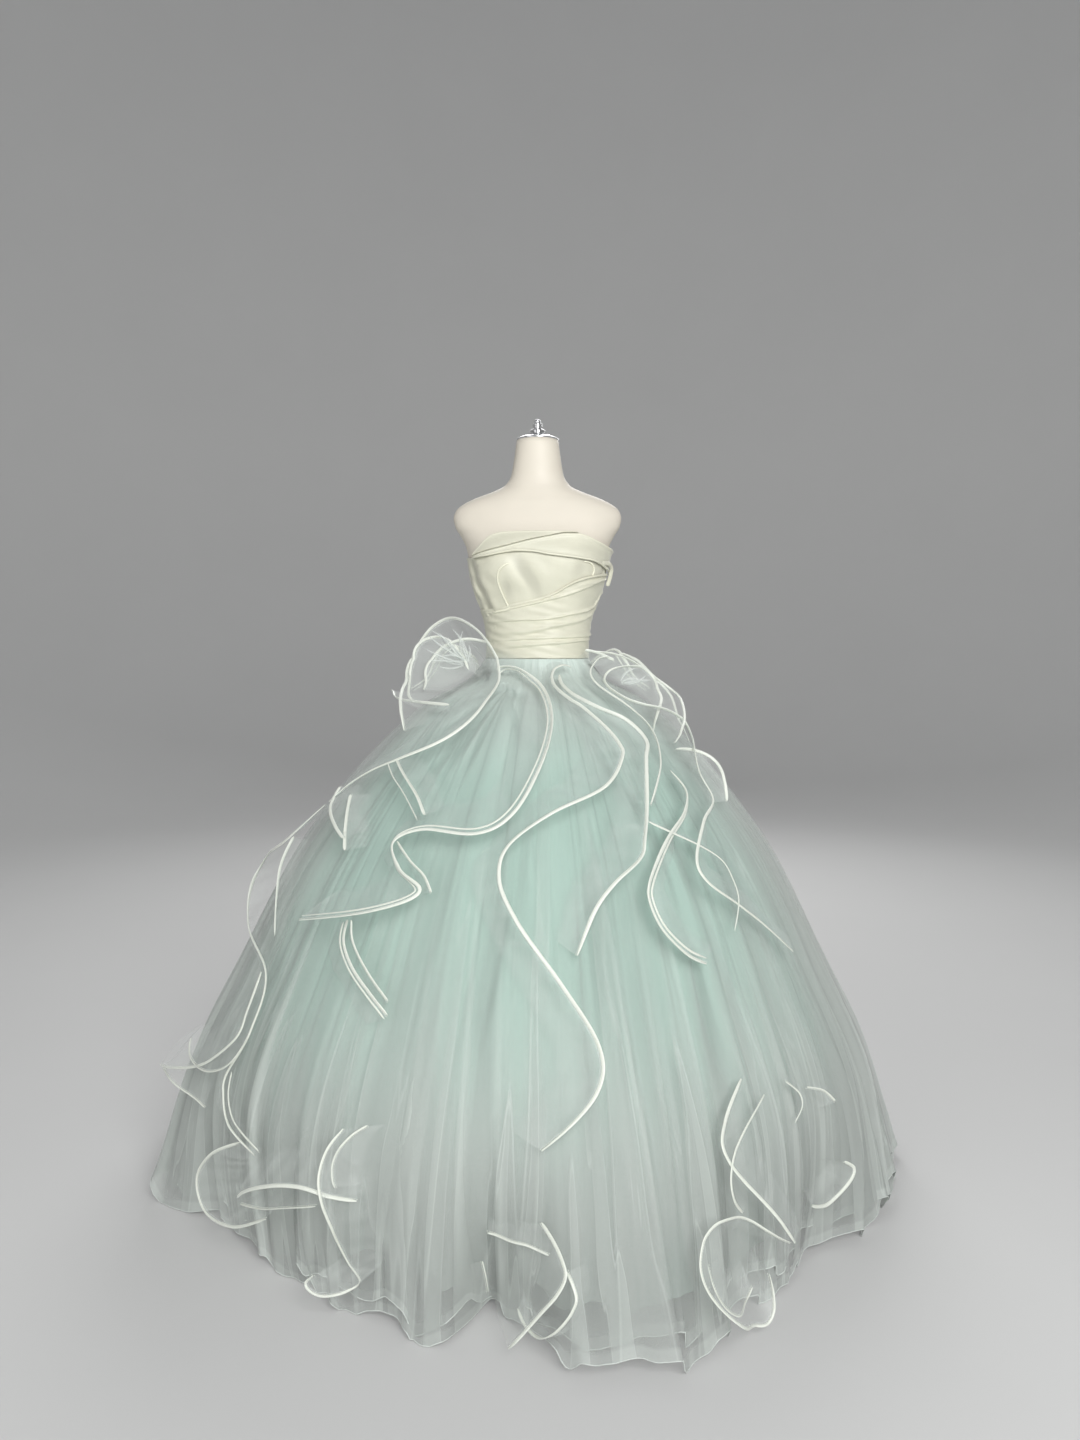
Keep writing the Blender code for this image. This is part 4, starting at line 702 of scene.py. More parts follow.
def link(name, mesh, material=None):
    """Link a mesh as an object at the origin."""
    mesh.shade_smooth()
    if material:
        mesh.materials.append(material)
    piece = bpy.data.objects.new(name, mesh)
    bpy.context.scene.collection.objects.link(piece)
    return piece


def cloth_grid(name, points, cloth, material=None, closed=False):
    """A sheet over a grid of points, its faces turned away from the body's axis.

    cloth gives each point's place on the flat cloth, in metres, for the weave.
    """
    rows, columns = points.shape[:2]
    r, c = np.meshgrid(np.arange(rows - 1), np.arange(columns if closed else columns - 1), indexing="ij")
    corner_rows = np.stack((r, r + 1, r + 1, r), axis=-1).reshape(-1, 4)
    corner_columns = np.stack((c, c, c + 1, c + 1), axis=-1).reshape(-1, 4)
    faces = corner_rows * columns + corner_columns % columns
    flat = points.reshape(-1, 3)
    one, two, three, four = (flat[faces[:, i]] for i in range(4))
    middle = (one + two + three + four) / 4
    if (np.cross(three - one, four - two)[:, :2] * middle[:, :2]).sum() < 0:
        faces, corner_rows, corner_columns = faces[:, ::-1], corner_rows[:, ::-1], corner_columns[:, ::-1]
    mesh = bpy.data.meshes.new(name)
    mesh.from_pydata(flat.tolist(), [], faces.tolist())
    layer = mesh.uv_layers.new(name="cloth")
    layer.data.foreach_set("uv", cloth[corner_rows, corner_columns].astype(np.float32).ravel())
    return link(name, mesh, material)


def settle(piece):
    """Turn a piece's modifiers into its plain mesh."""
    bpy.context.view_layer.update()
    evaluated = piece.evaluated_get(bpy.context.evaluated_depsgraph_get())
    made = bpy.data.meshes.new_from_object(evaluated)
    piece.modifiers.clear()
    old, piece.data = piece.data, made
    bpy.data.meshes.remove(old)
    made.name = piece.name
    return piece


def thicken(piece):
    """Give a satin sheet its thickness, inwards."""
    wall = piece.modifiers.new("Thickness", "SOLIDIFY")
    wall.thickness = SATIN_SHELL
    wall.offset = -1
    settle(piece).data.set_sharp_from_angle(angle=math.radians(SHARP_EDGE))
    return piece


def grow(piece, tree, values):
    """Run a geometry tree on a piece and keep what it makes as the piece's plain mesh."""
    modifier = piece.modifiers.new(tree.name, "NODES")
    modifier.node_group = tree
    for item in tree.interface.items_tree:
        if item.in_out == "INPUT" and item.name in values:
            modifier[item.identifier] = values[item.name]
    return settle(piece)


def path_object(name, points, lie):
    """A line for the geometry trees that follow one, with the cloth's normal at each point."""
    mesh = bpy.data.meshes.new(name)
    mesh.from_pydata(points.tolist(), [(i, i + 1) for i in range(len(points) - 1)], [])
    along = distances(steps_of(points))
    share = np.linspace(0, 1, len(points))
    girth = np.minimum(1, TIP_GIRTH + TIP_SWELL * np.minimum(share, 1 - share))
    keep_values(mesh, lie=np.broadcast_to(lie, points.shape), along=along, girth=girth)
    return link(name, mesh)


def bound_line(name, points, lie, width, thickness, sides, material):
    """A binding or a cord laid along a line, flat on what lies under it."""
    sizes = {"Width": width, "Thickness": thickness, "Sides": sides, "Material": material}
    return grow(path_object(name, points, lie), edge_tree(), sizes)


def close_ends(mesh, columns):
    """Close the first and the last ring of a solid of rings with faces that point away from it."""
    solid = bmesh.new()
    solid.from_mesh(mesh)
    points = list(solid.verts)
    for ring, far in ((points[:columns], points[-1]), (points[-columns:], points[0])):
        face = solid.faces.new(ring)
        face.smooth = True
        face.normal_update()
        if face.normal.z * (ring[0].co.z - far.co.z) < 0:
            face.normal_flip()
    solid.to_mesh(mesh)
    solid.free()


def turned(name, profile, foot, material):
    """A turned solid from a profile of radii and heights above its foot, closed at both ends."""
    turn = np.linspace(0, 2 * math.pi, TURNED_COLUMNS, endpoint=False)
    radius, height = (np.array(column)[:, None] for column in zip(*profile))
    height = height + foot
    points = together(radius * np.cos(turn), radius * np.sin(turn), height)
    length = distances(np.hypot(np.diff(radius[:, 0]), np.diff(height[:, 0])))[:, None]
    cloth = together(np.linspace(0, 1, TURNED_COLUMNS + 1) * TURNED_GIRTH, length)
    piece = cloth_grid(name, points, cloth, material, closed=True)
    close_ends(piece.data, TURNED_COLUMNS)
    return piece


# ---- node trees ----
class Graph:
    """Adds nodes to one tree and joins them as they are added."""

    def __init__(self, tree):
        self.tree = tree

    def add(self, kind, inputs=None, **settings):
        """A node with its settings, and its inputs by name or number."""
        node = self.tree.nodes.new(kind)
        for name, value in settings.items():
            setattr(node, name, value)
        for name, value in (inputs or {}).items():
            if isinstance(value, bpy.types.NodeSocket):
                self.tree.links.new(value, node.inputs[name])
            else:
                node.inputs[name].default_value = value
        return node

    def take(self, kind, inputs=None, **settings):
        """The first output of a new node."""
        return self.add(kind, inputs, **settings).outputs[0]

    def math(self, operation, *values):
        """The result of one sum."""
        return self.take("ShaderNodeMath", dict(enumerate(values)), operation=operation)

    def times(self, *values):
        """Values multiplied together."""
        return reduce(partial(self.math, "MULTIPLY"), values)

    def plus(self, *values):
        """Values added together."""
        return reduce(partial(self.math, "ADD"), values)

    def less(self, value, *others):
        """A value with others taken off."""
        return reduce(partial(self.math, "SUBTRACT"), others, value)

    def most(self, *values):
        """The largest of some values."""
        return reduce(partial(self.math, "MAXIMUM"), values)

    def scaled(self, value, share, start):
        """A value times a share, on top of a start."""
        return self.math("MULTIPLY_ADD", value, share, start)

    def vector(self, *parts):
        """A vector of up to three parts."""
        return self.take("ShaderNodeCombineXYZ", dict(enumerate(parts)))

    def stretched(self, vector, *scale):
        """A place stretched along its axes."""
        return self.take("ShaderNodeMapping", {"Vector": vector, "Scale": scale})

    def span(self, value, low, high, to_low=0, to_high=1, smooth=False):
        """A value carried from one range to another and held at its ends."""
        inputs = {0: value, 1: low, 2: high, 3: to_low, 4: to_high}
        kind = "SMOOTHSTEP" if smooth else "LINEAR"
        return self.take("ShaderNodeMapRange", inputs, interpolation_type=kind)

    def mix(self, share, first, second):
        """One colour mixed into another."""
        return self.add("ShaderNodeMix", {0: share, 6: first, 7: second}, data_type="RGBA").outputs[2]

    def attribute(self, name, output="Fac"):
        """A value that the mesh keeps for its material."""
        return self.add("ShaderNodeAttribute", attribute_name=name).outputs[output]

    def named(self, name, kind="FLOAT"):
        """A value that the mesh keeps for a geometry tree."""
        return self.add("GeometryNodeInputNamedAttribute", {"Name": name}, data_type=kind).outputs["Attribute"]

    def noise(self, vector, scale, detail=2, roughness=0.5):
        """Soft noise between 0 and 1."""
        inputs = {"Vector": vector, "Scale": scale, "Detail": detail, "Roughness": roughness}
        return self.add("ShaderNodeTexNoise", inputs).outputs["Fac"]

    def bump(self, height, strength, distance, normal=None):
        """The normal of a fine relief."""
        inputs = {"Height": height, "Strength": strength, "Distance": distance}
        if normal:
            inputs["Normal"] = normal
        return self.add("ShaderNodeBump", inputs).outputs["Normal"]

    def group(self, tree, inputs, output):
        """An output of a shared group, placed with this material's own values."""
        return self.add("ShaderNodeGroup", inputs, node_tree=tree).outputs[output]


def shared_tree(name, kind, inputs, outputs, fill):
    """A node tree with named inputs and outputs, built once; fill adds its nodes and gives its outputs."""
    tree = bpy.data.node_groups.get(name)
    if tree:
        return tree
    tree = bpy.data.node_groups.new(name, kind)
    for label, socket, default in inputs:
        made = tree.interface.new_socket(label, in_out="INPUT", socket_type="NodeSocket" + socket)
        if default is not None:
            made.default_value = default
    for label, socket in outputs:
        tree.interface.new_socket(label, in_out="OUTPUT", socket_type="NodeSocket" + socket)
    graph = Graph(tree)
    results = fill(graph, graph.add("NodeGroupInput").outputs)
    graph.add("NodeGroupOutput", dict(enumerate(results)))
    return tree


def geometry_tree(name, sizes, fill):
    """A geometry tree that ends in real, smooth faces with their material."""
    def finish(graph, given):
        real = graph.take("GeometryNodeRealizeInstances", {0: fill(graph, given)})
        smooth = graph.take("GeometryNodeSetShadeSmooth", {0: real})
        return [graph.take("GeometryNodeSetMaterial", {0: smooth, "Material": given["Material"]})]
    inputs = (("Geometry", "Geometry", None), *sizes, ("Material", "Material", None))
    return shared_tree(name, "GeometryNodeTree", inputs, (("Geometry", "Geometry"),), finish)


def keep_named(graph, geometry, name, value):
    """Geometry that keeps a value at each point."""
    inputs = {0: geometry, "Name": name, "Value": value}
    return graph.take("GeometryNodeStoreNamedAttribute", inputs, data_type="FLOAT", domain="POINT")


def gathers_tree():
    """Folds a plain bell of cloth into uneven pleats that run from the waist to the hem."""
    def fill(graph, given):
        ring = graph.named("ring", "FLOAT_VECTOR")

        def folds(around, along, shift, detail=1):
            """Noise round the skirt, from -0.5 to 0.5, that changes slowly down it."""
            start = graph.vector(0, 0, graph.plus(given["Seed"], shift))
            inputs = {0: ring, 1: graph.vector(around, around, along), 2: start}
            place = graph.take("ShaderNodeVectorMath", inputs, operation="MULTIPLY_ADD")
            return graph.less(graph.noise(place, 1, detail), 0.5)

        dip, fall, tuck = graph.named("dip"), graph.named("fall"), graph.named("tuck")
        swell = graph.span(dip, 0, 0.022)
        turns = graph.math("DIVIDE", graph.times(graph.named("turn"), given["Pleats"]), 2 * math.pi)
        turns = graph.plus(turns, graph.times(folds(3, 0.5, 60), 3.2))
        ridge = graph.scaled(graph.math("COSINE", graph.times(turns, 2 * math.pi)), 0.5, 0.5)
        sunk = graph.times(dip, given["Pleat depth"], graph.less(1, ridge))
        # Each pleat's place runs from 0 to 1; its blade rises slowly and drops at its end.
        place = graph.math("FRACT", turns)
        blade = graph.less(place, graph.span(place, 0.90, 1, smooth=True))
        uneven = graph.most(graph.scaled(folds(4, 0.3, 20), 2.2, 0.85), 0.35)
        slope = graph.math("POWER", fall, 1.3)
        knife = graph.times(graph.less(blade, 0.35), given["Knife depth"], slope, uneven)
        fine = graph.times(folds(given["Folds around"], 0.9, 0, 2), 2.4)
        around = graph.times(given["Folds around"], 3)
        crease = graph.math("ABSOLUTE", folds(around, 1.2, 40))
        crease = graph.span(crease, 0, 0.07, 1, 0, smooth=True)
        hem = graph.math("POWER", fall, 7)
        flare = graph.times(folds(12, 0.4, 90), given["Hem flare"], hem, 2)
        move = graph.plus(knife, graph.times(fine, given["Fine depth"], swell))
        move = graph.less(move, graph.times(crease, given["Crease depth"], swell), tuck, sunk)
        move = graph.plus(move, flare)
        # The hem rises and falls with the blades, and never through the floor.
        low = graph.math("POWER", fall, 9)
        step = graph.times(graph.less(blade, 0.4), given["Hem step"], uneven, low)
        step = graph.plus(step, graph.times(folds(7, 0.2, 130), given["Hem step"], hem, 1.6))
        height = graph.take("GeometryNodeInputPosition")
        height = graph.add("ShaderNodeSeparateXYZ", {0: height}).outputs[2]
        step = graph.most(step, graph.less(given["Floor gap"], height))
        inputs = {0: graph.named("outwards", "FLOAT_VECTOR"), "Scale": move}
        offset = graph.take("ShaderNodeVectorMath", inputs, operation="SCALE")
        inputs = {0: offset, 1: graph.vector(0, 0, step)}
        offset = graph.take("ShaderNodeVectorMath", inputs, operation="ADD")
        geometry = graph.take("GeometryNodeSetPosition", {0: given["Geometry"], "Offset": offset})
        # What the materials read: how deep a fold lies, which the mint darkens as painted shade in its pleats,
        # creases and tucks, and the lip where a pleat turns, a painted highlight on the clear net that also
        # makes the net denser.
        fold = graph.less(graph.scaled(fine, 0.5, 0.55), graph.times(crease, 0.4))
        fold = graph.scaled(tuck, -60, graph.plus(fold, graph.scaled(ridge, 0.3, -0.15)))
        strong = graph.most(graph.scaled(folds(8, 0.6, 150), 4.5, 0.45), 0)
        rise = graph.span(place, 0.76, 0.92, smooth=True)
        lip = graph.times(rise, graph.span(place, 0.955, 0.985, 1, 0), strong)
        return keep_named(graph, keep_named(graph, geometry, "fold", fold), "lip", lip)
    return geometry_tree("Gathered cloth", (
        ("Pleats", "Int", 36), ("Pleat depth", "Float", 1), ("Knife depth", "Float", 0.012),
        ("Fine depth", "Float", 0.004), ("Crease depth", "Float", 0.002), ("Folds around", "Float", 9),
        ("Hem flare", "Float", 0.012), ("Hem step", "Float", 0.012), ("Floor gap", "Float", 0.003),
        ("Seed", "Float", 1)), fill)


def edge_tree():
    """Sweeps a flattened, rounded binding along a line, flat on the cloth beside it."""
    def fill(graph, given):
        line = graph.take("GeometryNodeMeshToCurve", {0: given["Geometry"]})
        inputs = {0: line, "Normal": graph.named("lie", "FLOAT_VECTOR")}
        line = graph.take("GeometryNodeSetCurveNormal", inputs, mode="FREE")
        inputs = {"Resolution": given["Sides"], "Radius": 0.5}
        circle = graph.take("GeometryNodeCurvePrimitiveCircle", inputs)
        around = graph.add("GeometryNodeSplineParameter").outputs["Factor"]
        circle = keep_named(graph, circle, "around", around)
        size = graph.vector(given["Thickness"], given["Width"], 1)
        profile = graph.take("GeometryNodeTransform", {0: circle, "Scale": size})
        inputs = {0: line, 1: profile, "Scale": graph.named("girth"), "Fill Caps": True}
        return graph.take("GeometryNodeCurveToMesh", inputs)
    return geometry_tree("Bound edge", (
        ("Width", "Float", 0.008), ("Thickness", "Float", 0.003), ("Sides", "Int", 10)), fill)


def points_along(graph, given):
    """Points at an even pitch along a line."""
    line = graph.take("GeometryNodeMeshToCurve", {0: given["Geometry"]})
    inputs = {0: line, "Length": given["Pitch"]}
    return graph.take("GeometryNodeResampleCurve", inputs, mode="LENGTH")


def stitches_tree():
    """Lays short stitches along a line."""
    def fill(graph, given):
        points = points_along(graph, given)
        size = graph.vector(given["Length"], given["Thread"], given["Thread"])
        stitch = graph.take("GeometryNodeMeshCube", {"Size": size})
        tangent = graph.take("GeometryNodeInputTangent")
        facing = graph.take("FunctionNodeAlignRotationToVector", {"Vector": tangent}, axis="X")
        inputs = {0: points, "Instance": stitch, "Rotation": facing}
        return graph.take("GeometryNodeInstanceOnPoints", inputs)
    return geometry_tree("Stitches", (
        ("Pitch", "Float", 0.004), ("Length", "Float", 0.0024), ("Thread", "Float", 0.0006)), fill)


def zip_tree():
    """Two interlocking rows of moulded teeth along a line."""
    def fill(graph, given):
        points = points_along(graph, given)
        odd = graph.math("MODULO", graph.take("GeometryNodeInputIndex"), 2)
        side = graph.times(graph.scaled(odd, 2, -1), given["Side step"])
        points = graph.take("GeometryNodeSetPosition", {0: points, "Offset": graph.vector(side)})
        tooth = graph.take("GeometryNodeMeshCube", {"Size": given["Tooth"]})
        return graph.take("GeometryNodeInstanceOnPoints", {0: points, "Instance": tooth})
    return geometry_tree("Zip teeth", (
        ("Pitch", "Float", 0.0022), ("Tooth", "Vector", (0.0032, 0.0016, 0.0012)),
        ("Side step", "Float", 0.0009)), fill)


# ---- shared shader effects ----
def streaks_group():
    """Strips that run from the waist to the hem: soft ones, crisp ones and the lines where those end."""
    def fill(graph, given):
        size = graph.vector(given["Around"], given["Around"], given["Along"])
        place = graph.take("ShaderNodeVectorMath", {0: given["Ring"], 1: size}, operation="MULTIPLY")
        strip = graph.noise(place, 1, 2, 0.45)
        line = graph.math("ABSOLUTE", graph.less(strip, 0.5))
        return (graph.span(strip, 0.30, 0.70, smooth=True), graph.span(strip, 0.485, 0.515),
                graph.span(line, 0, 0.010, 1, 0))
    inputs = (("Ring", "Vector", None), ("Around", "Float", 14), ("Along", "Float", 0.8))
    outputs = (("Soft", "Float"), ("Crisp", "Float"), ("Line", "Float"))
    return shared_tree("Tulle strips", "ShaderNodeTree", inputs, outputs, fill)


def net_group():
    """The fine cells of a net, as a mask that is 1 on its threads."""
    def fill(graph, given):
        inputs = {"Vector": given["Vector"], "Scale": given["Cells per metre"]}
        cells = graph.add("ShaderNodeTexVoronoi", inputs, feature="DISTANCE_TO_EDGE").outputs["Distance"]
        return [graph.span(cells, 0.02, 0.16, 1, 0)]
    inputs = (("Vector", "Vector", None), ("Cells per metre", "Float", 700))
    return shared_tree("Net", "ShaderNodeTree", inputs, (("Threads", "Float"),), fill)


def weave_group():
    """Crossing threads of a woven cloth, as a height and a mask of its slubs."""
    def fill(graph, given):
        heights = []
        for turn in (0, math.pi / 2):
            inputs = {"Vector": given["Cloth"], "Rotation": (0, 0, turn)}
            laid = graph.take("ShaderNodeMapping", inputs)
            inputs = {"Vector": laid, "Scale": given["Threads"], "Distortion": 0.6, "Detail": 1}
            heights.append(graph.add("ShaderNodeTexWave", inputs).outputs["Fac"])
        height = graph.scaled(heights[1], 0.5, graph.times(heights[0], 0.5))
        slubs = graph.noise(graph.stretched(given["Cloth"], 14, 220, 1), 1)
        return height, graph.span(slubs, 0.55, 0.75)
    inputs = (("Cloth", "Vector", None), ("Threads", "Float", 600))
    outputs = (("Height", "Float"), ("Slubs", "Float"))
    return shared_tree("Weave", "ShaderNodeTree", inputs, outputs, fill)


# ---- materials ----
class Finish(Graph):
    """A material's graph round its Principled shader, whose constant sockets are set first."""

    def __init__(self, name, **constants):
        self.material = bpy.data.materials.new(name)
        self.material.use_nodes = True
        super().__init__(self.material.node_tree)
        self.shader = self.tree.nodes["Principled BSDF"]
        for socket, value in constants.items():
            self.shader.inputs[socket.replace("_", " ")].default_value = value

    def place(self):
        """The piece's own coordinates, in metres."""
        return self.add("ShaderNodeTexCoord").outputs["Object"]

    def cloth(self):
        """The place on the flat cloth, in metres."""
        return self.add("ShaderNodeUVMap", uv_map="cloth").outputs["UV"]

    def end(self, **sockets):
        """Join outputs to the shader's sockets, and give the finished material."""
        for socket, output in sockets.items():
            self.tree.links.new(output, self.shader.inputs[socket.replace("_", " ")])
        return self.material


def shade(colour, factor):
    """A colour made lighter or darker."""
    return (*(min(channel * factor, 1) for channel in colour), 1)


def paint_finish(colour):
    """Matt cream paint over a hard shell, faintly uneven."""
    graph = Finish("form_cream_paint", Coat_Roughness=0.5)
    place = graph.place()
    broad = graph.noise(place, 7, 3)
    grain = graph.noise(place, 420)
    rough = graph.noise(place, 40, 3)
    return graph.end(
        Base_Color=graph.mix(graph.span(broad, 0.3, 0.7), shade(colour, 1), shade(colour, 0.94)),
        Roughness=graph.span(rough, 0.3, 0.7, 0.46, 0.60), Normal=graph.bump(grain, 0.10, 0.0006))


def chrome_finish(colour):
    """Bright plated metal with fine turning marks and a little haze."""
    graph = Finish("polished_metal", Metallic=1)
    place = graph.place()
    marks = graph.noise(graph.stretched(place, 60, 60, 2600), 1)
    haze = graph.span(graph.noise(place, 30, 3), 0.35, 0.7, 0.10, 0.24)
    tone = graph.mix(graph.noise(place, 90), shade(colour, 1), shade(colour, 0.9))
    return graph.end(Base_Color=tone, Roughness=haze, Normal=graph.bump(marks, 0.12, 0.0003))


def satin_finish(name, colour, cool_tone_and_shade):
    """Heavy satin: a soft lustre, a fine weave, a slight pull in the threads, a painted highlight along its
    folds' lips and painted shade in its hollows.
    """
    graph = Finish(name, Sheen_Weight=0.25, Sheen_Roughness=0.35, Specular_IOR_Level=0.45)
    place, weave = graph.place(), {"Cloth": graph.cloth(), "Threads": 900}
    height = graph.group(weave_group(), weave, "Height")
    slubs = graph.group(weave_group(), weave, "Slubs")
    broad = graph.span(graph.noise(place, 16, 3), 0.30, 0.70)
    tone = graph.mix(broad, shade(colour, 1), shade(cool_tone_and_shade, 1))
    tone = graph.mix(graph.times(slubs, 0.25), tone, shade(colour, 1.08))
    # Lighter along the folds' lips: a painted highlight.
    tone = graph.mix(graph.times(graph.attribute("lip"), 0.8), tone, shade(colour, 1.25))
    # Darker in the satin's hollows: painted shade.
    tone = graph.mix(graph.times(graph.attribute("hollow"), 0.75), tone, shade(cool_tone_and_shade, 0.72))
    pull = graph.bump(graph.noise(place, 55, 3), 0.18, 0.0025)
    return graph.end(Base_Color=tone, Roughness=graph.span(broad, 0, 1, 0.34, 0.46),
                     Normal=graph.bump(height, 0.18, 0.0003, pull))


def edge_finish(name, colour):
    """Bias satin of a bound edge: brighter on its ridge, with faint slanting pulls."""
    graph = Finish(name, Sheen_Weight=0.3, Sheen_Roughness=0.3, Specular_IOR_Level=0.5)
    along, around = graph.attribute("along"), graph.attribute("around")
    slant = graph.vector(graph.scaled(around, 0.012, along), around)
    pulls = graph.noise(graph.stretched(slant, 420, 3, 1), 1)
    weave = graph.noise(graph.stretched(slant, 2600, 40, 1), 1)
    broad = graph.span(graph.noise(graph.place(), 12), 0.3, 0.7, 0, 0.35)
    tone = graph.mix(graph.span(pulls, 0.3, 0.7), shade(colour, 0.93), shade(colour, 1.05))
    return graph.end(Base_Color=graph.mix(broad, tone, shade(colour, 0.88)),
                     Roughness=graph.span(pulls, 0.2, 0.8, 0.34, 0.48),
                     Normal=graph.bump(weave, 0.12, 0.0002, graph.bump(pulls, 0.25, 0.0005)))


def mint_finish(colour, veil):
    """Many gathered layers of mint net: paler at the sides and greyer at the hem, with painted shade in the
    pleats, creases and tucks and towards the hem.
    """
    graph = Finish("mint_net", Sheen_Weight=0.25, Sheen_Roughness=0.6, Specular_IOR_Level=0.12)
    ring, fold, fall = graph.attribute("ring", "Vector"), graph.attribute("fold"), graph.attribute("fall")
    broad = graph.group(streaks_group(), {"Ring": ring, "Around": 5, "Along": 1.2}, "Soft")
    fine = graph.group(streaks_group(), {"Ring": ring, "Around": 22, "Along": 1.5}, "Soft")
    low_fine = graph.times(fine, graph.span(fall, 0.25, 0.85, smooth=True))
    front = graph.take("ShaderNodeSeparateXYZ", {0: ring})
    pale = graph.most(graph.span(front, 0.10, 0.80, 0.80, 0, smooth=True),
                      graph.span(fall, 0.45, 0.95, 0, 0.90, smooth=True))
    tone = graph.mix(broad, shade(colour, 0.95), shade(colour, 1.06))
    tone = graph.mix(graph.times(low_fine, 0.40), tone, shade(colour, 1.18))
    tone = graph.mix(pale, tone, shade(veil, 0.90))
    tone = graph.mix(graph.span(fall, 0.02, 0.22, 0.72, 0, smooth=True), tone, shade(veil, 1.14))
    # Darker towards the hem: painted shade.
    tone = graph.mix(graph.span(fall, 0.60, 0.95, 0, 0.85, smooth=True), tone, shade(veil, 0.66))
    # Darker in the pleat valleys, creases and tucks: painted shade, kept lighter near the waist.
    depth = graph.most(graph.span(fold, 0.05, 0.60, 0.55, 1, smooth=True),
                       graph.span(fall, 0.03, 0.16, 0.85, 0.55))
    threads = graph.group(net_group(), {"Vector": graph.place(), "Cells per metre": 650}, "Threads")
    relief = graph.plus(graph.times(low_fine, 0.8), graph.times(threads, 0.12))
    return graph.end(Base_Color=graph.mix(depth, shade(colour, 0.50), tone),
                     Roughness=graph.span(fine, 0, 1, 0.80, 0.95), Normal=graph.bump(relief, 0.35, 0.0020))


def veil_finish(name, colour, density):
    """Clear net over the skirt: denser in strips, along its folds, at the sides and in its turned hem."""
    graph = Finish(name, Sheen_Weight=0.25, Sheen_Roughness=0.5, Specular_IOR_Level=0.12)
    ring, lip, fall = graph.attribute("ring", "Vector"), graph.attribute("lip"), graph.attribute("fall")
    wide = {"Ring": ring, "Around": 8, "Along": 0.7}
    crisp, line = (graph.group(streaks_group(), wide, output) for output in ("Crisp", "Line"))
    near = {"Ring": ring, "Around": 21, "Along": 1.6}
    soft, narrow, end = (graph.group(streaks_group(), near, output) for output in ("Soft", "Crisp", "Line"))
    lower = graph.span(fall, 0.15, 0.80, smooth=True)
    low = graph.span(fall, 0.55, 0.95, smooth=True)
    front = graph.take("ShaderNodeSeparateXYZ", {0: ring})
    sides = graph.span(front, 0.10, 0.85, 0.20, 0, smooth=True)
    hem = graph.span(fall, 0.978, 0.984, 0, 0.16)
    threads = graph.group(net_group(), {"Vector": graph.place(), "Cells per metre": 700}, "Threads")
    drift = graph.scaled(soft, 0.09, graph.times(crisp, 0.11))
    drift = graph.plus(drift, graph.times(line, 0.12), graph.times(lip, 0.16))
    tight = graph.scaled(narrow, 0.15, graph.times(end, 0.18))
    solid = graph.scaled(drift, graph.scaled(lower, 0.85, 0.15), density)
    solid = graph.plus(graph.scaled(tight, low, solid), graph.plus(sides, hem))
    solid = graph.plus(solid, graph.scaled(threads, 0.08, -0.03))
    solid = graph.scaled(graph.times(lower, lower), 0.14, solid)
    solid = graph.scaled(graph.attribute("mist"), 0.30, solid)
    solid = graph.times(solid, graph.span(fall, 0, 0.03, smooth=True))
    # Lighter along the strips' edges and along the pleats' lips, where it is a painted highlight.
    tone = graph.mix(graph.most(line, end, lip), shade(colour, 0.97), shade(colour, 1.10))
    # Darker towards the hem: painted shade.
    tone = graph.mix(graph.times(low, 0.7), tone, shade(colour, 0.74))
    return graph.end(Base_Color=tone, Alpha=graph.math("MINIMUM", solid, 0.95),
                     Roughness=graph.span(soft, 0, 1, 0.72, 0.88), Normal=graph.bump(soft, 0.20, 0.0015))


def organza_finish(name, colour, density):
    """Crisp sheer organza: crossing threads, denser where turned in, lost under the net at its seam."""
    graph = Finish(name, Sheen_Weight=0.3, Sheen_Roughness=0.35, Specular_IOR_Level=0.35)
    cloth, across = graph.cloth(), graph.attribute("across")
    height = graph.group(weave_group(), {"Cloth": cloth, "Threads": 450}, "Height")
    broad = graph.noise(graph.stretched(cloth, 16, 9, 1), 1)
    flutes = graph.noise(graph.stretched(cloth, 70, 5, 1), 1)
    creases = graph.span(flutes, 0.55, 0.72, smooth=True)
    turned_in = graph.span(across, 0.95, 0.98, 0, 0.16)
    solid = graph.plus(graph.span(broad, 0.3, 0.7, density - 0.04, density + 0.05), turned_in)
    solid = graph.scaled(creases, 0.04, graph.scaled(height, 0.05, solid))
    solid = graph.times(solid, graph.span(across, 0, 0.30, smooth=True))
    tone = graph.mix(creases, shade(colour, 0.97), shade(colour, 1.05))
    return graph.end(Base_Color=tone, Alpha=solid, Roughness=graph.span(broad, 0, 1, 0.42, 0.58),
                     Normal=graph.bump(height, 0.10, 0.0002, graph.bump(flutes, 0.12, 0.0015)))


def tape_finish(colour):
    """Ribbed zip tape."""
    graph = Finish("ivory_zip_tape", Sheen_Weight=0.2)
    cloth = graph.cloth()
    ribs = graph.add("ShaderNodeTexWave", {"Vector": cloth, "Scale": 260, "Distortion": 0.3}).outputs["Fac"]
    soft = graph.noise(cloth, 900)
    return graph.end(Base_Color=graph.mix(ribs, shade(colour, 0.88), shade(colour, 1)),
                     Roughness=graph.span(soft, 0.3, 0.7, 0.6, 0.75), Normal=graph.bump(ribs, 0.3, 0.0004))


def thread_finish(name, colour):
    """Twisted thread and moulded trims, slightly uneven."""
    graph = Finish(name, Sheen_Weight=0.2)
    twist = graph.noise(graph.place(), 1500)
    return graph.end(Base_Color=graph.mix(twist, shade(colour, 0.86), shade(colour, 1.05)),
                     Roughness=graph.span(twist, 0.3, 0.7, 0.45, 0.6), Normal=graph.bump(twist, 0.2, 0.0002))


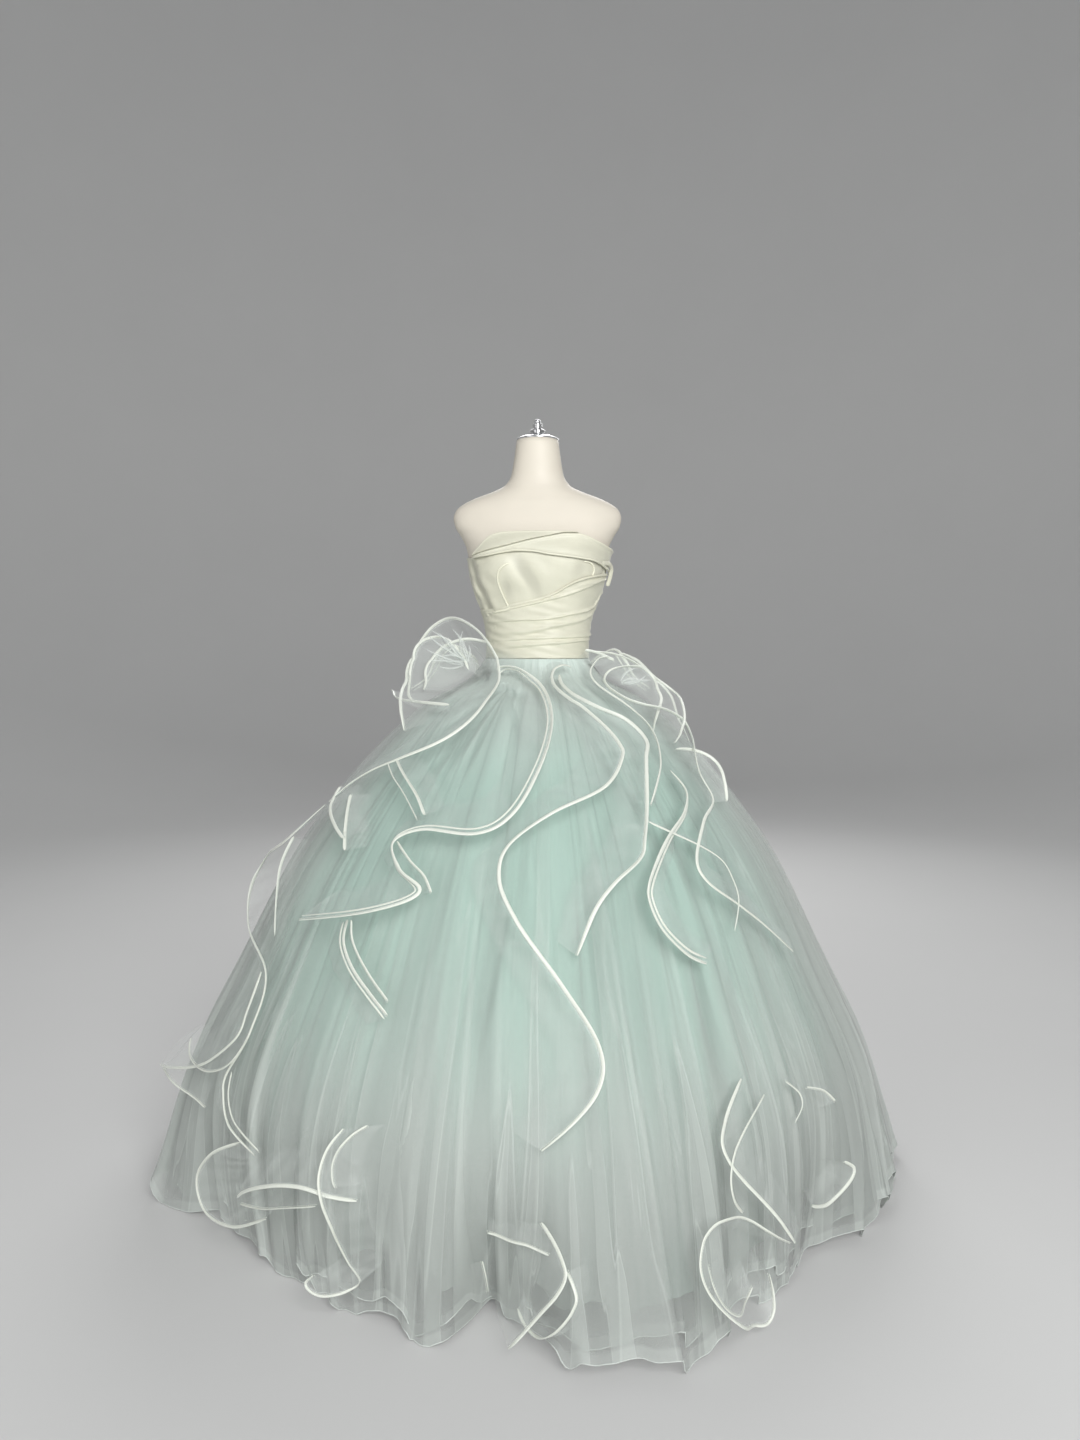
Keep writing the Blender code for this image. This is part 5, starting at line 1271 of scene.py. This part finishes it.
def stage_finish(colour):
    """A plain pale floor that runs up into the wall."""
    graph = Finish("pale_floor", Specular_IOR_Level=0.2, Emission_Strength=0.13)
    place = graph.place()
    grain = graph.noise(place, 160)
    tone = graph.mix(graph.noise(place, 1.3, 4), shade(colour, 0.98), shade(colour, 1.02))
    return graph.end(Base_Color=tone, Emission_Color=tone, Roughness=graph.span(grain, 0.3, 0.7, 0.75, 0.85),
                     Normal=graph.bump(grain, 0.05, 0.0005))


# ---- settings that a user would change ----
def colour_property(name, description, default):
    return FloatVectorProperty(name=name, description=description, default=default, subtype="COLOR", size=3,
                               min=0.0, max=1.0)


def length_property(name, description, default):
    return FloatProperty(name=name, description=description, default=default, min=0.0, subtype="DISTANCE",
                         unit="LENGTH", precision=4)


class FormSettings(bpy.types.PropertyGroup):
    paint: colour_property("Paint", "Colour of the dress form's painted shell", (0.72, 0.67, 0.575))
    metal: colour_property("Metal", "Colour of the neck cap, pole and foot", (0.78, 0.78, 0.79))


class BodiceSettings(bpy.types.PropertyGroup):
    satin: colour_property("Satin", "Colour of the bodice's satin", (0.690, 0.680, 0.555))
    # The satin's cooler tone, also darkened into the painted shade in the satin's hollows.
    shade: colour_property("Satin shade", "Colour of the satin where it turns cooler", (0.630, 0.622, 0.505))
    tape: colour_property("Zip tape", "Colour of the zip's tape and teeth", (0.66, 0.67, 0.56))
    fold_rise: length_property("Fold rise", "How far a fold's lip stands proud", FOLD_RISE)
    piping: length_property("Piping", "Thickness of the piping in the seams", 0.0036)


class SkirtSettings(bpy.types.PropertyGroup):
    mint: colour_property("Mint", "Colour of the inner layers of net", (0.400, 0.590, 0.512))
    veil: colour_property("Veil", "Colour of the clear outer net", (0.62, 0.665, 0.63))
    pleats: FloatProperty(name="Pleats", description="Pleats round the skirt, as a share of the pattern's",
                          default=1.0, min=0.2, max=3.0, subtype="FACTOR")
    pleat_depth: FloatProperty(name="Pleat depth", description="Pleats' depth, as a share of the pattern's",
                               default=1.0, min=0.0, max=1.5, subtype="FACTOR")
    hem_thread: length_property("Hem thread", "Thickness of the turned hem's edge", 0.0014)


class FlounceSettings(bpy.types.PropertyGroup):
    organza: colour_property("Organza", "Colour of the flounces", (0.80, 0.85, 0.81))
    edge: colour_property("Bound edge", "Colour of the satin that binds the flounces", (0.78, 0.81, 0.735))
    width: length_property("Edge width", "Width of a bound edge", 0.0070)
    thickness: length_property("Edge thickness", "Thickness of a bound edge", 0.0034)
    ripple: length_property("Ripple", "Height of the ripples across a flounce", 0.0045)
    stitch: length_property("Stitch", "Distance from one stitch to the next", 0.0042)


class StageSettings(bpy.types.PropertyGroup):
    floor: colour_property("Floor", "Colour of the floor and the wall behind", (0.57, 0.57, 0.565))
    light: FloatProperty(name="Light", description="Strength of the lamps, as a share of the studio's",
                         default=1.0, min=0.0, max=4.0, subtype="FACTOR")


# ---- pieces ----
def finish_piece(piece, slot, *nodes):
    """A finished piece rides on the gown's one body and stands for its CAD nodes."""
    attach(piece, "root")
    if nodes:
        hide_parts(*nodes)
    return piece


def cloth_of(points):
    """Each grid point's place on the flat cloth: metres along the rows and down them."""
    across = steps_of(points, 1).mean(axis=0)
    down = steps_of(points).mean(axis=1)
    return together(distances(across)[None, :], distances(down)[:, None])


def flat_size(points):
    """Width and length of the rectangle that a grid's flat cloth is cut from, and the cloth's area."""
    one, two = points[1:, 1:] - points[:-1, :-1], points[1:, :-1] - points[:-1, 1:]
    area = np.linalg.norm(np.cross(one, two), axis=-1).sum() / 2
    wide = steps_of(points, 1).sum(axis=1).max()
    long = steps_of(points).sum(axis=0).max()
    return (float(wide), float(long)), float(min(area, wide * long))


def laid_angles(start, end):
    """Angles from start to end, close enough for a smooth piece."""
    return np.linspace(start, end, max(int((end - start) / COLUMN_DEGREES) + 1, 5))


def roll(distance, width, softness=LIP_SOFTNESS):
    """A rounded lip: it comes up at a fold over its softness and dies away over its width."""
    up = smoothstep(distance, 0.0, softness)
    return up * (0.42 + 0.75 * window(distance, 0.0010 + softness, width + softness / 2))


def panel_points(panel, rows):
    """A bodice panel between its two seams, and how hollow or proud its satin is."""
    count = len(laid_angles(SEAMS[panel.start][0].angle, SEAMS[panel.end][0].angle + 360 * panel.turns))
    across = np.linspace(0, 1, count)[None, :]
    share = np.linspace(1, 0, rows)[:, None]
    heights = WAIST_HEIGHT + SEAM_GAP + (SEAM_TOP - WAIST_HEIGHT) * share + 0 * across
    # The top's height depends on the angle and the seam's angle on the height, so both settle.
    for _ in range(3):
        start = read_table(SEAMS[panel.start], "height", "angle", heights)
        end = read_table(SEAMS[panel.end], "height", "angle", heights) + 360 * panel.turns
        angles = start + (end - start) * across
        top = read_table(BODICE_TOP, "angle", "height", wrap(angles))
        heights = WAIST_HEIGHT + SEAM_GAP + (top - WAIST_HEIGHT) * share
    relief = crumple(wrap(angles), heights)
    return body_point(angles, heights, OVER_SATIN + relief), relief


def build_form(settings):
    """The smooth torso, closed under the hips and at the neck."""
    between = [np.linspace(a.height, b.height, 5)[:-1] for a, b in zip(BODY, BODY[1:])]
    heights = np.concatenate(between + [[NECK_TOP]])
    angles = np.linspace(0, 360, FORM_COLUMNS, endpoint=False)
    points = body_point(angles[None, :], heights[::-1, None], 0.0)
    paint = paint_finish(settings.paint)
    piece = cloth_grid("dress_form", points, cloth_of(come_round(points)), paint, closed=True)
    close_ends(piece.data, FORM_COLUMNS)
    finish_piece(piece, "form_shell", "form_torso")


def build_stand(settings):
    """The neck cap with its turned finial, the pole and the round foot."""
    metal = chrome_finish(settings.metal)
    foot = BASE_PROFILE[-1].height + SEAM_GAP
    length = FORM_BOTTOM - SEAM_GAP - foot
    pole = table("radius height", (CLOSED_RADIUS, 0.0), (POLE_RADIUS, 0.0), (POLE_RADIUS, length / 2),
                 (POLE_RADIUS, length), (CLOSED_RADIUS, length))
    for name, profile, bottom, node in (("neck_cap", CAP_PROFILE, NECK_TOP + SEAM_GAP, "form_neck_cap"),
                                        ("stand_foot", BASE_PROFILE, 0.0, "stand_base"),
                                        ("stand_tube", pole, foot, "stand_pole")):
        finish_piece(turned(name, profile, bottom, metal), "stand_metal", node)


def build_bodice(settings):
    """Front, side fronts and backs, with piping over the bust."""
    satin = satin_finish("ivory_satin", settings.satin, settings.shade)
    tape = tape_finish(settings.tape)
    for panel in BODICE_PANELS:
        points, relief = panel_points(panel, BODICE_ROWS)
        is_tape = "zip" in panel.name
        piece = cloth_grid(panel.name + "_cloth", points, cloth_of(points), tape if is_tape else satin)
        # How deep each hollow lies, which the satin darkens as painted shade.
        keep_values(piece.data, hollow=np.maximum(-relief / DEEPEST_HOLLOW, 0))
        size, area = flat_size(points)
        finish_piece(thicken(piece), "zip_tape" if is_tape else "satin", panel.name)
    # The piping's satin is made lighter than the bodice's: a painted highlight along the cords.
    trim = edge_finish("satin_piping", shade(settings.satin, 1.22)[:3])
    cord = settings.piping
    for name, route in PIPINGS.items():
        angle, height = spline(route, 10).T
        over = OVER_SATIN + crumple(angle, height)
        points = body_point(angle, height, over + cord * 0.28)
        lie = body_point(angle, height, over + 0.01) - points
        finish_piece(bound_line(name, points, lie, cord * 1.15, cord * 0.8, 10, trim), "satin")


def build_zip(settings):
    """Teeth, slider and pull of the centre-back zip, and the hook and eye above it."""
    moulded = thread_finish("ivory_zip_teeth", settings.tape)
    over = OVER_SATIN + ZIP_RISE
    heights = np.linspace(*ZIP_ENDS, 60)
    points = body_point(180.0, heights, over)
    lie = body_point(180.0, heights, over + 0.01) - points
    teeth = grow(path_object("zip_teeth", points, lie), zip_tree(), {"Material": moulded})
    finish_piece(teeth, "zip_tape")
    top = np.array((0.0, points[-1, 1], 0.0))
    lines = [(line.name, spline(line.points, line.steps) + top, line) for line in ZIP_PARTS]
    across = np.linspace(-2.6, 2.6, 21)
    for line in ZIP_HOOKS:
        height = line.height + line.rise * np.cos(np.radians(across * 60))
        lines.append((line.name, body_point(180 + across, height, over + ZIP_RISE), line))
    for name, points, line in lines:
        part = bound_line(name, points, BACKWARDS, line.width, line.thickness, line.sides, moulded)
        finish_piece(part, "zip_tape")


def upper_cuff(rise, angles, low, high, share):
    """How far the upper band stands out, puffed above the lower band's edge, and the mask of a painted
    highlight along its top edge.
    """
    height = low + (high - low) * share
    above = height - read_table(LOWER_CUFF, "angle", "high", angles)
    puffed = smoothstep(above, 0.0004, 0.0030) * (1 - 0.65 * smoothstep(above, 0.004, 0.030))
    out = OVER_BODICE - CUFF_GAP + (rise * 1.7 + CUFF_GAP) * puffed
    out = out + rise * 0.30 * window(high - height, 0.0015, 0.0018)
    return height, out, 0.5 * window(high - height, 0.0012, 0.0012)


def lower_cuff(rise, angles, low, high, share):
    """How far the lower band stands out, rolled at both edges, and the mask of a painted highlight along both
    edges.
    """
    height = low + (high - low) * share
    fade = smoothstep(high - low, 0.001, 0.010)
    rolled = np.maximum(roll(height - low, 0.0030), 1.15 * roll(high - height, 0.0036))
    out = OVER_BODICE + SATIN_THICKNESS + CUFF_GAP + rise * fade * rolled
    out = out + 0.0010 * np.sin(np.radians(angles) * 4 + height * 130) * fade * (share * (1 - share) * 4)
    lip_highlights = [window(inside, 0.0016, 0.0014) for inside in (height - low, high - height)]
    return height, out, 0.8 * fade * np.maximum(*lip_highlights)


def build_neckline(settings):
    """Two folded bands across the neckline, and the tail that ends the lower one."""
    satin = satin_finish("ivory_satin_folds", settings.satin, settings.shade)
    share = (0.5 - 0.5 * np.cos(np.linspace(math.pi, 0, 40)))[:, None]
    for name, band, shape in (("neckline_fold_upper", UPPER_CUFF, upper_cuff),
                              ("neckline_fold_lower", LOWER_CUFF, lower_cuff)):
        angles = laid_angles(band[0].angle, band[-1].angle)[None, :]
        low, high = (read_table(band, "angle", side, angles) for side in ("low", "high"))
        height, out, lip = shape(settings.fold_rise, angles, low, high, share)
        points = body_point(angles, height, out + crumple(angles, low) * 0.3)
        piece = cloth_grid(name + "_cloth", points, cloth_of(points), satin)
        keep_values(piece.data, lip=lip)
        size, area = flat_size(points)
        finish_piece(thicken(piece), "satin", name)
    angle, height, out = spline(TAB, 8).T
    points = body_point(angle, height, out)
    turn = smoothstep(np.arange(len(points)), 8, 26)[:, None]
    outwards = unit(body_point(angle, height, out + 0.01) - points)
    lie = unit(outwards * (1 - turn) + np.array(TAIL_FACING) * turn)
    trim = edge_finish("satin_tail", settings.satin)
    tail = bound_line("neckline_tail", points, lie, TAIL_WIDTH, TAIL_THICKNESS, 14, trim)
    finish_piece(tail, "satin", "neckline_fold_tab")


def build_drape(settings):
    """Satin wrapped below the bust, in folds that overlap and rise to one side."""
    satin = satin_finish("ivory_satin_wrap", settings.satin, settings.shade)
    angles = laid_angles(-91, 91)
    lines = [*(fold.line for fold in DRAPE_FOLDS), DRAPE_TOP]
    heights = [read_table(line, "angle", "height", angles) for line in lines]
    rises = [read_table(line, "angle", "rise", angles) for line in lines]
    steps = np.linspace(0, 1, 17)[:-1] ** 1.5
    rows = []
    for k, fold in enumerate(DRAPE_FOLDS):
        low, tall = heights[k], heights[k + 1] - heights[k]
        for step in steps:
            above = tall * step
            bead = roll(above, 0.0024, np.minimum(fold.softness, tall * 0.4))
            lift = rises[k] * bead * (1 - smoothstep(step, 0.30, 1.0)) + 0.10
            # shine marks a fold's lip for the satin's painted highlight.
            shine = window(above, 0.0004 + fold.softness / 2, 0.0016 + fold.softness / 4)
            rows.append((low + above, lift, (rises[k] - 0.3) * shine * min(0.0030 / fold.softness, 1.0)))
    # The hem's bead gets the painted highlight too.
    for hem in DRAPE_HEM:
        lift = rises[-1] * hem.bead
        rows.append((heights[-1] + DRAPE_HEM_WIDTH * hem.share, lift, lift * 0.4))
    height, lift, lip = np.array(rows[::-1]).transpose(1, 0, 2)
    crest = read_table(DRAPE_PUFF, "angle", "height", angles)
    angles = angles[None, :]
    puff = 0.0042 * window(angles, 52, 17) * window(height, crest, 0.0055)
    tuck = -0.0020 * window(angles, 58, 14) * window(height, crest + 0.008, 0.0022)
    pulls = 0.0007 * np.sin(angles * 0.16 + height * 330) * np.sin(angles * 0.05 + 1.0)
    pulls = pulls + 0.0010 * np.sin(angles * 0.07 - height * 190 + 2.0) * window(angles, -55, 30)
    points = body_point(angles, height, OVER_BODICE + lift * settings.fold_rise * 1.05 + pulls + puff + tuck)
    piece = cloth_grid("bodice_wrap", points, cloth_of(points), satin)
    keep_values(piece.data, lip=lip)
    size, area = flat_size(points)
    finish_piece(thicken(piece), "satin", "bodice_waist_drape")


def tucked(angle, height):
    """How deep the tucks press in, less the rise of the pinched rolls."""
    depth = 0 * (angle + height)
    for tuck in TUCKS:
        share = (tuck.height - height) / (tuck.height - tuck.end_height)
        line = tuck.angle + (tuck.end_angle - tuck.angle) * share
        width = tuck.width * (0.6 + 0.6 * np.clip(share, 0, 1))
        away = (angle - line) / width
        side = np.where(away > 0, np.exp(-away ** 2), np.exp(-(away / 2.2) ** 2))
        depth += tuck.depth * side * smoothstep(share, 0.0, 0.25) * (1 - smoothstep(share, 0.55, 1.05))
    for pinch in PINCHES:
        line = pinch.height + (angle - pinch.angle) * pinch.slope
        along = window(angle, pinch.angle, pinch.spread)
        depth -= pinch.rise * along * window(height, line, pinch.tall)
        depth += pinch.rise * 0.7 * along * window(height, line - pinch.tall * 2.0, pinch.tall * 0.8)
    return depth


def skirt_layer(layer):
    """The plain bell of one layer, with what its pleats and its material need."""
    angles = np.linspace(-180, 180, SKIRT_COLUMNS, endpoint=False)
    turn = np.radians(angles)
    top, bottom = SKIRT[0].height, SKIRT[-1].height
    share = np.concatenate((np.linspace(0, WAIST_SHARE, WAIST_ROWS)[:-1],
                            np.linspace(WAIST_SHARE, 1, SKIRT_ROWS - WAIST_ROWS + 1)))
    base = top + (bottom - top) * share ** ROW_CROWDING
    lowering = ((top - base) / (top - bottom))[:, None] ** HEM_ONSET
    hem = HEM_CLEARANCE + HEM_WAVE * (1 + wander(HEM_WANDER, turn))
    hem = hem + layer.hem * (1 + 0.25 * np.sin(turn * 5 + layer.seed))
    heights = base[:, None] + hem * lowering
    fall = share[:, None] + 0 * turn
    over = 0 * fall
    if layer.density is not None:
        over = window(angles, MIST_ANGLE, MIST_SPREAD) * (1 - smoothstep(fall, 0.0, 0.05))
    heights = heights + WAIST_MIST * over
    out = layer.out * np.minimum(fall * 6, 1) + (0.010 + layer.out) * over
    points = skirt_place(angles[None, :], heights, out)
    piece = cloth_grid(layer.name, points, cloth_of(come_round(points)), closed=True)
    dip = read_table(SKIRT, "height", "pleat_depth", heights) * (MEAN_PLEAT_DEPTH + wander(DEPTH_WANDER, turn))
    keep_values(piece.data, dip=dip, tuck=tucked(angles[None, :], heights), fall=fall, mist=over,
                turn=turn + wander(PLEAT_WANDER, turn) + 0 * fall,
                ring=together(np.cos(turn), np.sin(turn), fall),
                outwards=together(np.sin(turn), -np.cos(turn), 0 * fall))
    return piece


def build_skirt(settings):
    """The opaque mint layers, the two clear layers over them, and the clear layers' turned hems."""
    thread = thread_finish("hem_thread", settings.veil)
    gores = [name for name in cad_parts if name.startswith("skirt_")]
    for layer in SKIRT_LAYERS:
        finish = (mint_finish(settings.mint, settings.veil) if layer.density is None
                  else veil_finish(layer.name + "_net", settings.veil, layer.density))
        piece = grow(skirt_layer(layer), gathers_tree(), {
            "Pleats": round(layer.pleats * settings.pleats), "Pleat depth": settings.pleat_depth * layer.depth,
            "Knife depth": layer.knife, "Fine depth": layer.fine, "Crease depth": layer.crease,
            "Folds around": layer.around, "Hem flare": HEM_FLARE, "Hem step": HEM_STEP,
            "Floor gap": HEM_CLEARANCE * 0.5, "Seed": layer.seed, "Material": finish})
        finish_piece(piece, "tulle", *gores)
        places = np.zeros(SKIRT_ROWS * SKIRT_COLUMNS * 3, np.float32)
        piece.data.vertices.foreach_get("co", places)
        points = come_round(places.reshape(SKIRT_ROWS, SKIRT_COLUMNS, 3).astype(float))
        if layer.density is not None:
            line = np.vstack((points[-1], points[-1, 1:2]))
            lie = line * (1, 1, 0)
            width = settings.hem_thread
            finish_piece(bound_line(layer.name + "_hem", line, lie, width * 1.6, width, 5, thread), "tulle")
        size, area = flat_size(points)


def flounce_grid(rows, ripple, phase):
    """Points of a flounce from its seam to its edge, plain and with soft ripples across it."""
    share = np.linspace(0, 1, FLOUNCE_ACROSS + 1)[None, :]
    angle, height, stand_off, seam_angle, seam_height = rows.T[..., None]
    angle = seam_angle + (angle - seam_angle) * share
    height = seam_height + (height - seam_height) * share
    out = SEAM_LIFT + (stand_off - SEAM_LIFT) * share ** EDGE_RISE
    plain = skirt_place(angle, height, out)
    length = distances(steps_of(plain[:, -1]))[:, None]
    wave = np.sin(length * 52 + phase) + 0.6 * np.sin(length * 131 + 2 * phase + 3 * share)
    out = out + ripple * wave * np.sin(np.pi * share) ** 0.8
    return plain, skirt_place(angle, height, out), length, share


def edge_frames(plain):
    """Along a flounce's edge: its points, the way out of the cloth's edge and the cloth's normal."""
    points = plain[:, -1]
    ahead = unit(np.gradient(points, axis=0))
    away = smoothed(unit(points - plain[:, -3]), 12)
    away = unit(away - ahead * (away * ahead).sum(axis=1, keepdims=True))
    normal = unit(np.cross(away, ahead))
    flip = np.sign((normal * points * (1, 1, 0)).sum())
    return points, away, normal * flip


def build_flounce(name, rows, settings, finishes, is_trim):
    """One organza flounce, the satin that binds its edge, its stitches and any second edge."""
    phase = sum(ord(letter) for letter in name) % 7
    steps = TRIM_STEPS if is_trim else FLOUNCE_STEPS
    ripple = settings.ripple * (TRIM_RIPPLE if is_trim else 1)
    plain, grid, length, share = flounce_grid(spline(rows, steps), ripple, phase)
    organza, edge, thread = finishes
    piece = cloth_grid("organza_" + name, grid, together(length, share * CLOTH_DEPTH), organza)
    keep_values(piece.data, across=np.broadcast_to(share, grid.shape[:2]))
    finish_piece(piece, "organza", *([] if is_trim else ["flounce_" + name]))
    points, away, normal = edge_frames(plain)
    scale = EDGE_SHARES.get(name, 1.0) * (LOW_SHARE if "low" in name else 1) * (TRIM_SHARE if is_trim else 1)
    width, thickness = settings.width * scale, settings.thickness * scale
    twist = 0.40 * np.sin(length * 6.5 + phase) + 0.25 * np.sin(length * 17 + 2 * phase)
    lie = normal * np.cos(twist) + away * np.sin(twist)
    bound = bound_line("edge_" + name, points + away * settings.width * 0.42, lie, width, thickness, 12,
                       edge)
    finish_piece(bound, "binding", *([] if is_trim else ["binding_" + name]))
    seam = points + normal * settings.thickness * 0.25 + away * settings.width * 0.02
    stitched = grow(path_object("stitches_" + name, seam, normal), stitches_tree(), {
        "Pitch": settings.stitch, "Length": settings.stitch * 0.6, "Thread": THREAD, "Material": thread})
    finish_piece(stitched, "binding")
    if name in DOUBLE_EDGES:
        spread = DOUBLE_EDGES[name] * (0.90 + 0.14 * np.sin(length * 9 + phase))
        line = smoothed(points - away * (spread - settings.width * 0.4) + normal * 0.001, 6)
        thin = bound_line("second_edge_" + name, line, normal, width * 0.58, thickness * 0.8, 8, edge)
        finish_piece(thin, "binding")
    size, area = flat_size(grid)


def build_flounces(settings):
    """The organza flounces that cascade from the waist to the hem, and the narrow trims among them."""
    finishes = (organza_finish("white_organza", settings.organza, 0.13),
                edge_finish("ivory_satin_binding", settings.edge), thread_finish("ivory_thread", settings.edge))
    for group, is_trim in ((FLOUNCES, False), (TRIMS, True)):
        for name, rows in group.items():
            build_flounce(name, rows, settings, finishes, is_trim)


def fan_blade(root, k, turn, length):
    """One pressed strip of a fan, and its places on the flat cloth."""
    lean = math.radians(turn)
    along = np.array((math.cos(lean), 0.25 * math.sin(3 * k), math.sin(lean)))
    side = np.array((-math.sin(lean), 0.35, math.cos(lean)))
    reach = np.linspace(0, 1, 9)[:, None, None]
    fold = np.linspace(-1, 1, 5)[None, :, None]
    bow = 0.010 * math.sin(2 * k + 1) * reach * (1 - reach) * 4
    width = FAN_WIDTH * (0.35 + 0.65 * reach) * (1 - reach ** 3)
    depth = np.array((0.0, -1.0, 0.0)) * (1 - np.abs(fold)) * width * 1.6
    foot = np.array(root) + side * 0.004 * math.sin(5 * k)
    blade = foot + along * length * reach + side * (fold * width + bow) + depth
    return blade, together(reach[..., 0] * length, fold[..., 0] * 0.01 + k * 0.05)


def build_fan(settings):
    """Crisp folded ends of organza that stand up inside the loops beside the waist."""
    finish = organza_finish("pressed_organza", settings.organza, 0.40)
    for fan in FANS:
        for k, (turn, length) in enumerate(zip(fan.turns, fan.lengths)):
            blade, cloth = fan_blade(fan.root, k, turn, length)
            piece = cloth_grid("%s_%d" % (fan.name, k + 1), blade, cloth, finish)
            keep_values(piece.data, across=np.full(blade.shape[:2], 0.5))
            finish_piece(piece, "organza")
            size, area = flat_size(blade)


def build_stage(settings):
    """A pale round studio, soft lamps and the camera."""
    scene = bpy.context.scene
    scene.view_settings.view_transform = "Standard"
    bend = np.linspace(0, math.pi / 2, 13)
    wall = FLOOR_RADIUS + WALL_BEND
    radius = np.concatenate((FLOOR_RINGS, FLOOR_RADIUS + WALL_BEND * np.sin(bend), [wall]))[:, None]
    height = np.concatenate((np.zeros(len(FLOOR_RINGS)), WALL_BEND * (1 - np.cos(bend)),
                             [WALL_TOP]))[:, None]
    turn = np.linspace(0, 2 * math.pi, 96, endpoint=False)
    points = together(radius * np.cos(turn), radius * np.sin(turn), height)
    cloth = np.zeros((len(radius), len(turn) + 1, 2))
    floor = cloth_grid("studio_floor", points, cloth, stage_finish(settings.floor), closed=True)
    floor.data.flip_normals()
    world = bpy.data.worlds.new("studio_light")
    world.use_nodes = True
    background = world.node_tree.nodes["Background"]
    background.inputs["Color"].default_value = WORLD_COLOUR
    background.inputs["Strength"].default_value = WORLD_STRENGTH * settings.light
    scene.world = world
    for row in LAMPS:
        data = bpy.data.lights.new(row.name, "AREA")
        data.shape = "DISK"
        data.size = row.size
        data.energy = row.power * settings.light
        lamp = bpy.data.objects.new(row.name, data)
        lamp.location = row.place
        lamp.rotation_euler = (Vector(row.aim) - Vector(row.place)).to_track_quat("-Z", "Y").to_euler()
        scene.collection.objects.link(lamp)
    data = bpy.data.cameras.new("camera")
    data.sensor_width = 36.0
    data.lens = CAMERA_LENS
    camera = bpy.data.objects.new("camera", data)
    camera.location = CAMERA_PLACE
    camera.rotation_euler = (math.radians(90 - CAMERA_DIP), 0.0, 0.0)
    scene.collection.objects.link(camera)
    scene.camera = camera


# ---- operators ----
class GownOperator:
    """Runs one builder with the scene's settings."""
    bl_options = {"REGISTER", "UNDO"}
    settings = ""

    def execute(self, context):
        """Build this operator's pieces; an error stops the script."""
        self.build(getattr(context.scene, self.settings))
        return {"FINISHED"}


class GOWN_OT_form(GownOperator, bpy.types.Operator):
    """Build the dress form's torso"""
    bl_idname, bl_label = "gown.form", "Dress form"
    settings, build = "gown_form", staticmethod(build_form)


class GOWN_OT_stand(GownOperator, bpy.types.Operator):
    """Build the neck cap, the pole and the foot"""
    bl_idname, bl_label = "gown.stand", "Stand"
    settings, build = "gown_form", staticmethod(build_stand)


class GOWN_OT_bodice(GownOperator, bpy.types.Operator):
    """Build the bodice's panels and piping"""
    bl_idname, bl_label = "gown.bodice", "Bodice"
    settings, build = "gown_bodice", staticmethod(build_bodice)


class GOWN_OT_zip(GownOperator, bpy.types.Operator):
    """Build the zip at the centre back"""
    bl_idname, bl_label = "gown.zip", "Zip"
    settings, build = "gown_bodice", staticmethod(build_zip)


class GOWN_OT_neckline(GownOperator, bpy.types.Operator):
    """Build the folded bands of the neckline"""
    bl_idname, bl_label = "gown.neckline", "Neckline"
    settings, build = "gown_bodice", staticmethod(build_neckline)


class GOWN_OT_drape(GownOperator, bpy.types.Operator):
    """Build the wrapped folds below the bust"""
    bl_idname, bl_label = "gown.drape", "Wrap"
    settings, build = "gown_bodice", staticmethod(build_drape)


class GOWN_OT_skirt(GownOperator, bpy.types.Operator):
    """Build the layers of the skirt"""
    bl_idname, bl_label = "gown.skirt", "Skirt"
    settings, build = "gown_skirt", staticmethod(build_skirt)


class GOWN_OT_flounces(GownOperator, bpy.types.Operator):
    """Build the flounces, their bound edges and the narrow trims"""
    bl_idname, bl_label = "gown.flounces", "Flounces"
    settings, build = "gown_flounces", staticmethod(build_flounces)


class GOWN_OT_fan(GownOperator, bpy.types.Operator):
    """Build the folded organza ends beside the waist"""
    bl_idname, bl_label = "gown.fan", "Folded ends"
    settings, build = "gown_flounces", staticmethod(build_fan)


class GOWN_OT_stage(GownOperator, bpy.types.Operator):
    """Build the floor, the lamps and the camera"""
    bl_idname, bl_label = "gown.stage", "Stage"
    settings, build = "gown_stage", staticmethod(build_stage)


OPERATORS = (GOWN_OT_form, GOWN_OT_stand, GOWN_OT_bodice, GOWN_OT_zip, GOWN_OT_neckline, GOWN_OT_drape,
             GOWN_OT_skirt, GOWN_OT_flounces, GOWN_OT_fan, GOWN_OT_stage)
SETTINGS = (("gown_form", FormSettings), ("gown_bodice", BodiceSettings), ("gown_skirt", SkirtSettings),
            ("gown_flounces", FlounceSettings), ("gown_stage", StageSettings))


class GOWN_PT_panel(bpy.types.Panel):
    """Lists the gown's settings and its builders"""
    bl_idname, bl_label = "GOWN_PT_panel", "Ball gown"
    bl_space_type, bl_region_type, bl_category = "VIEW_3D", "UI", "Gown"

    def draw(self, context):
        for name, group in SETTINGS:
            box = self.layout.box()
            box.label(text=name.replace("gown_", "").capitalize())
            for field in group.__annotations__:
                box.prop(getattr(context.scene, name), field)
            for operator in OPERATORS:
                if operator.settings == name:
                    box.operator(operator.bl_idname)


def register():
    for name, group in SETTINGS:
        bpy.utils.register_class(group)
        setattr(bpy.types.Scene, name, PointerProperty(type=group))
    for kind in (*OPERATORS, GOWN_PT_panel):
        bpy.utils.register_class(kind)


def unregister():
    for kind in (GOWN_PT_panel, *reversed(OPERATORS)):
        bpy.utils.unregister_class(kind)
    for name, group in reversed(SETTINGS):
        delattr(bpy.types.Scene, name)
        bpy.utils.unregister_class(group)


def main():
    """Build the whole gown."""
    register()
    for operator in OPERATORS:
        section, name = operator.bl_idname.split(".")
        getattr(getattr(bpy.ops, section), name)()


if __name__ == "__main__":
    main()
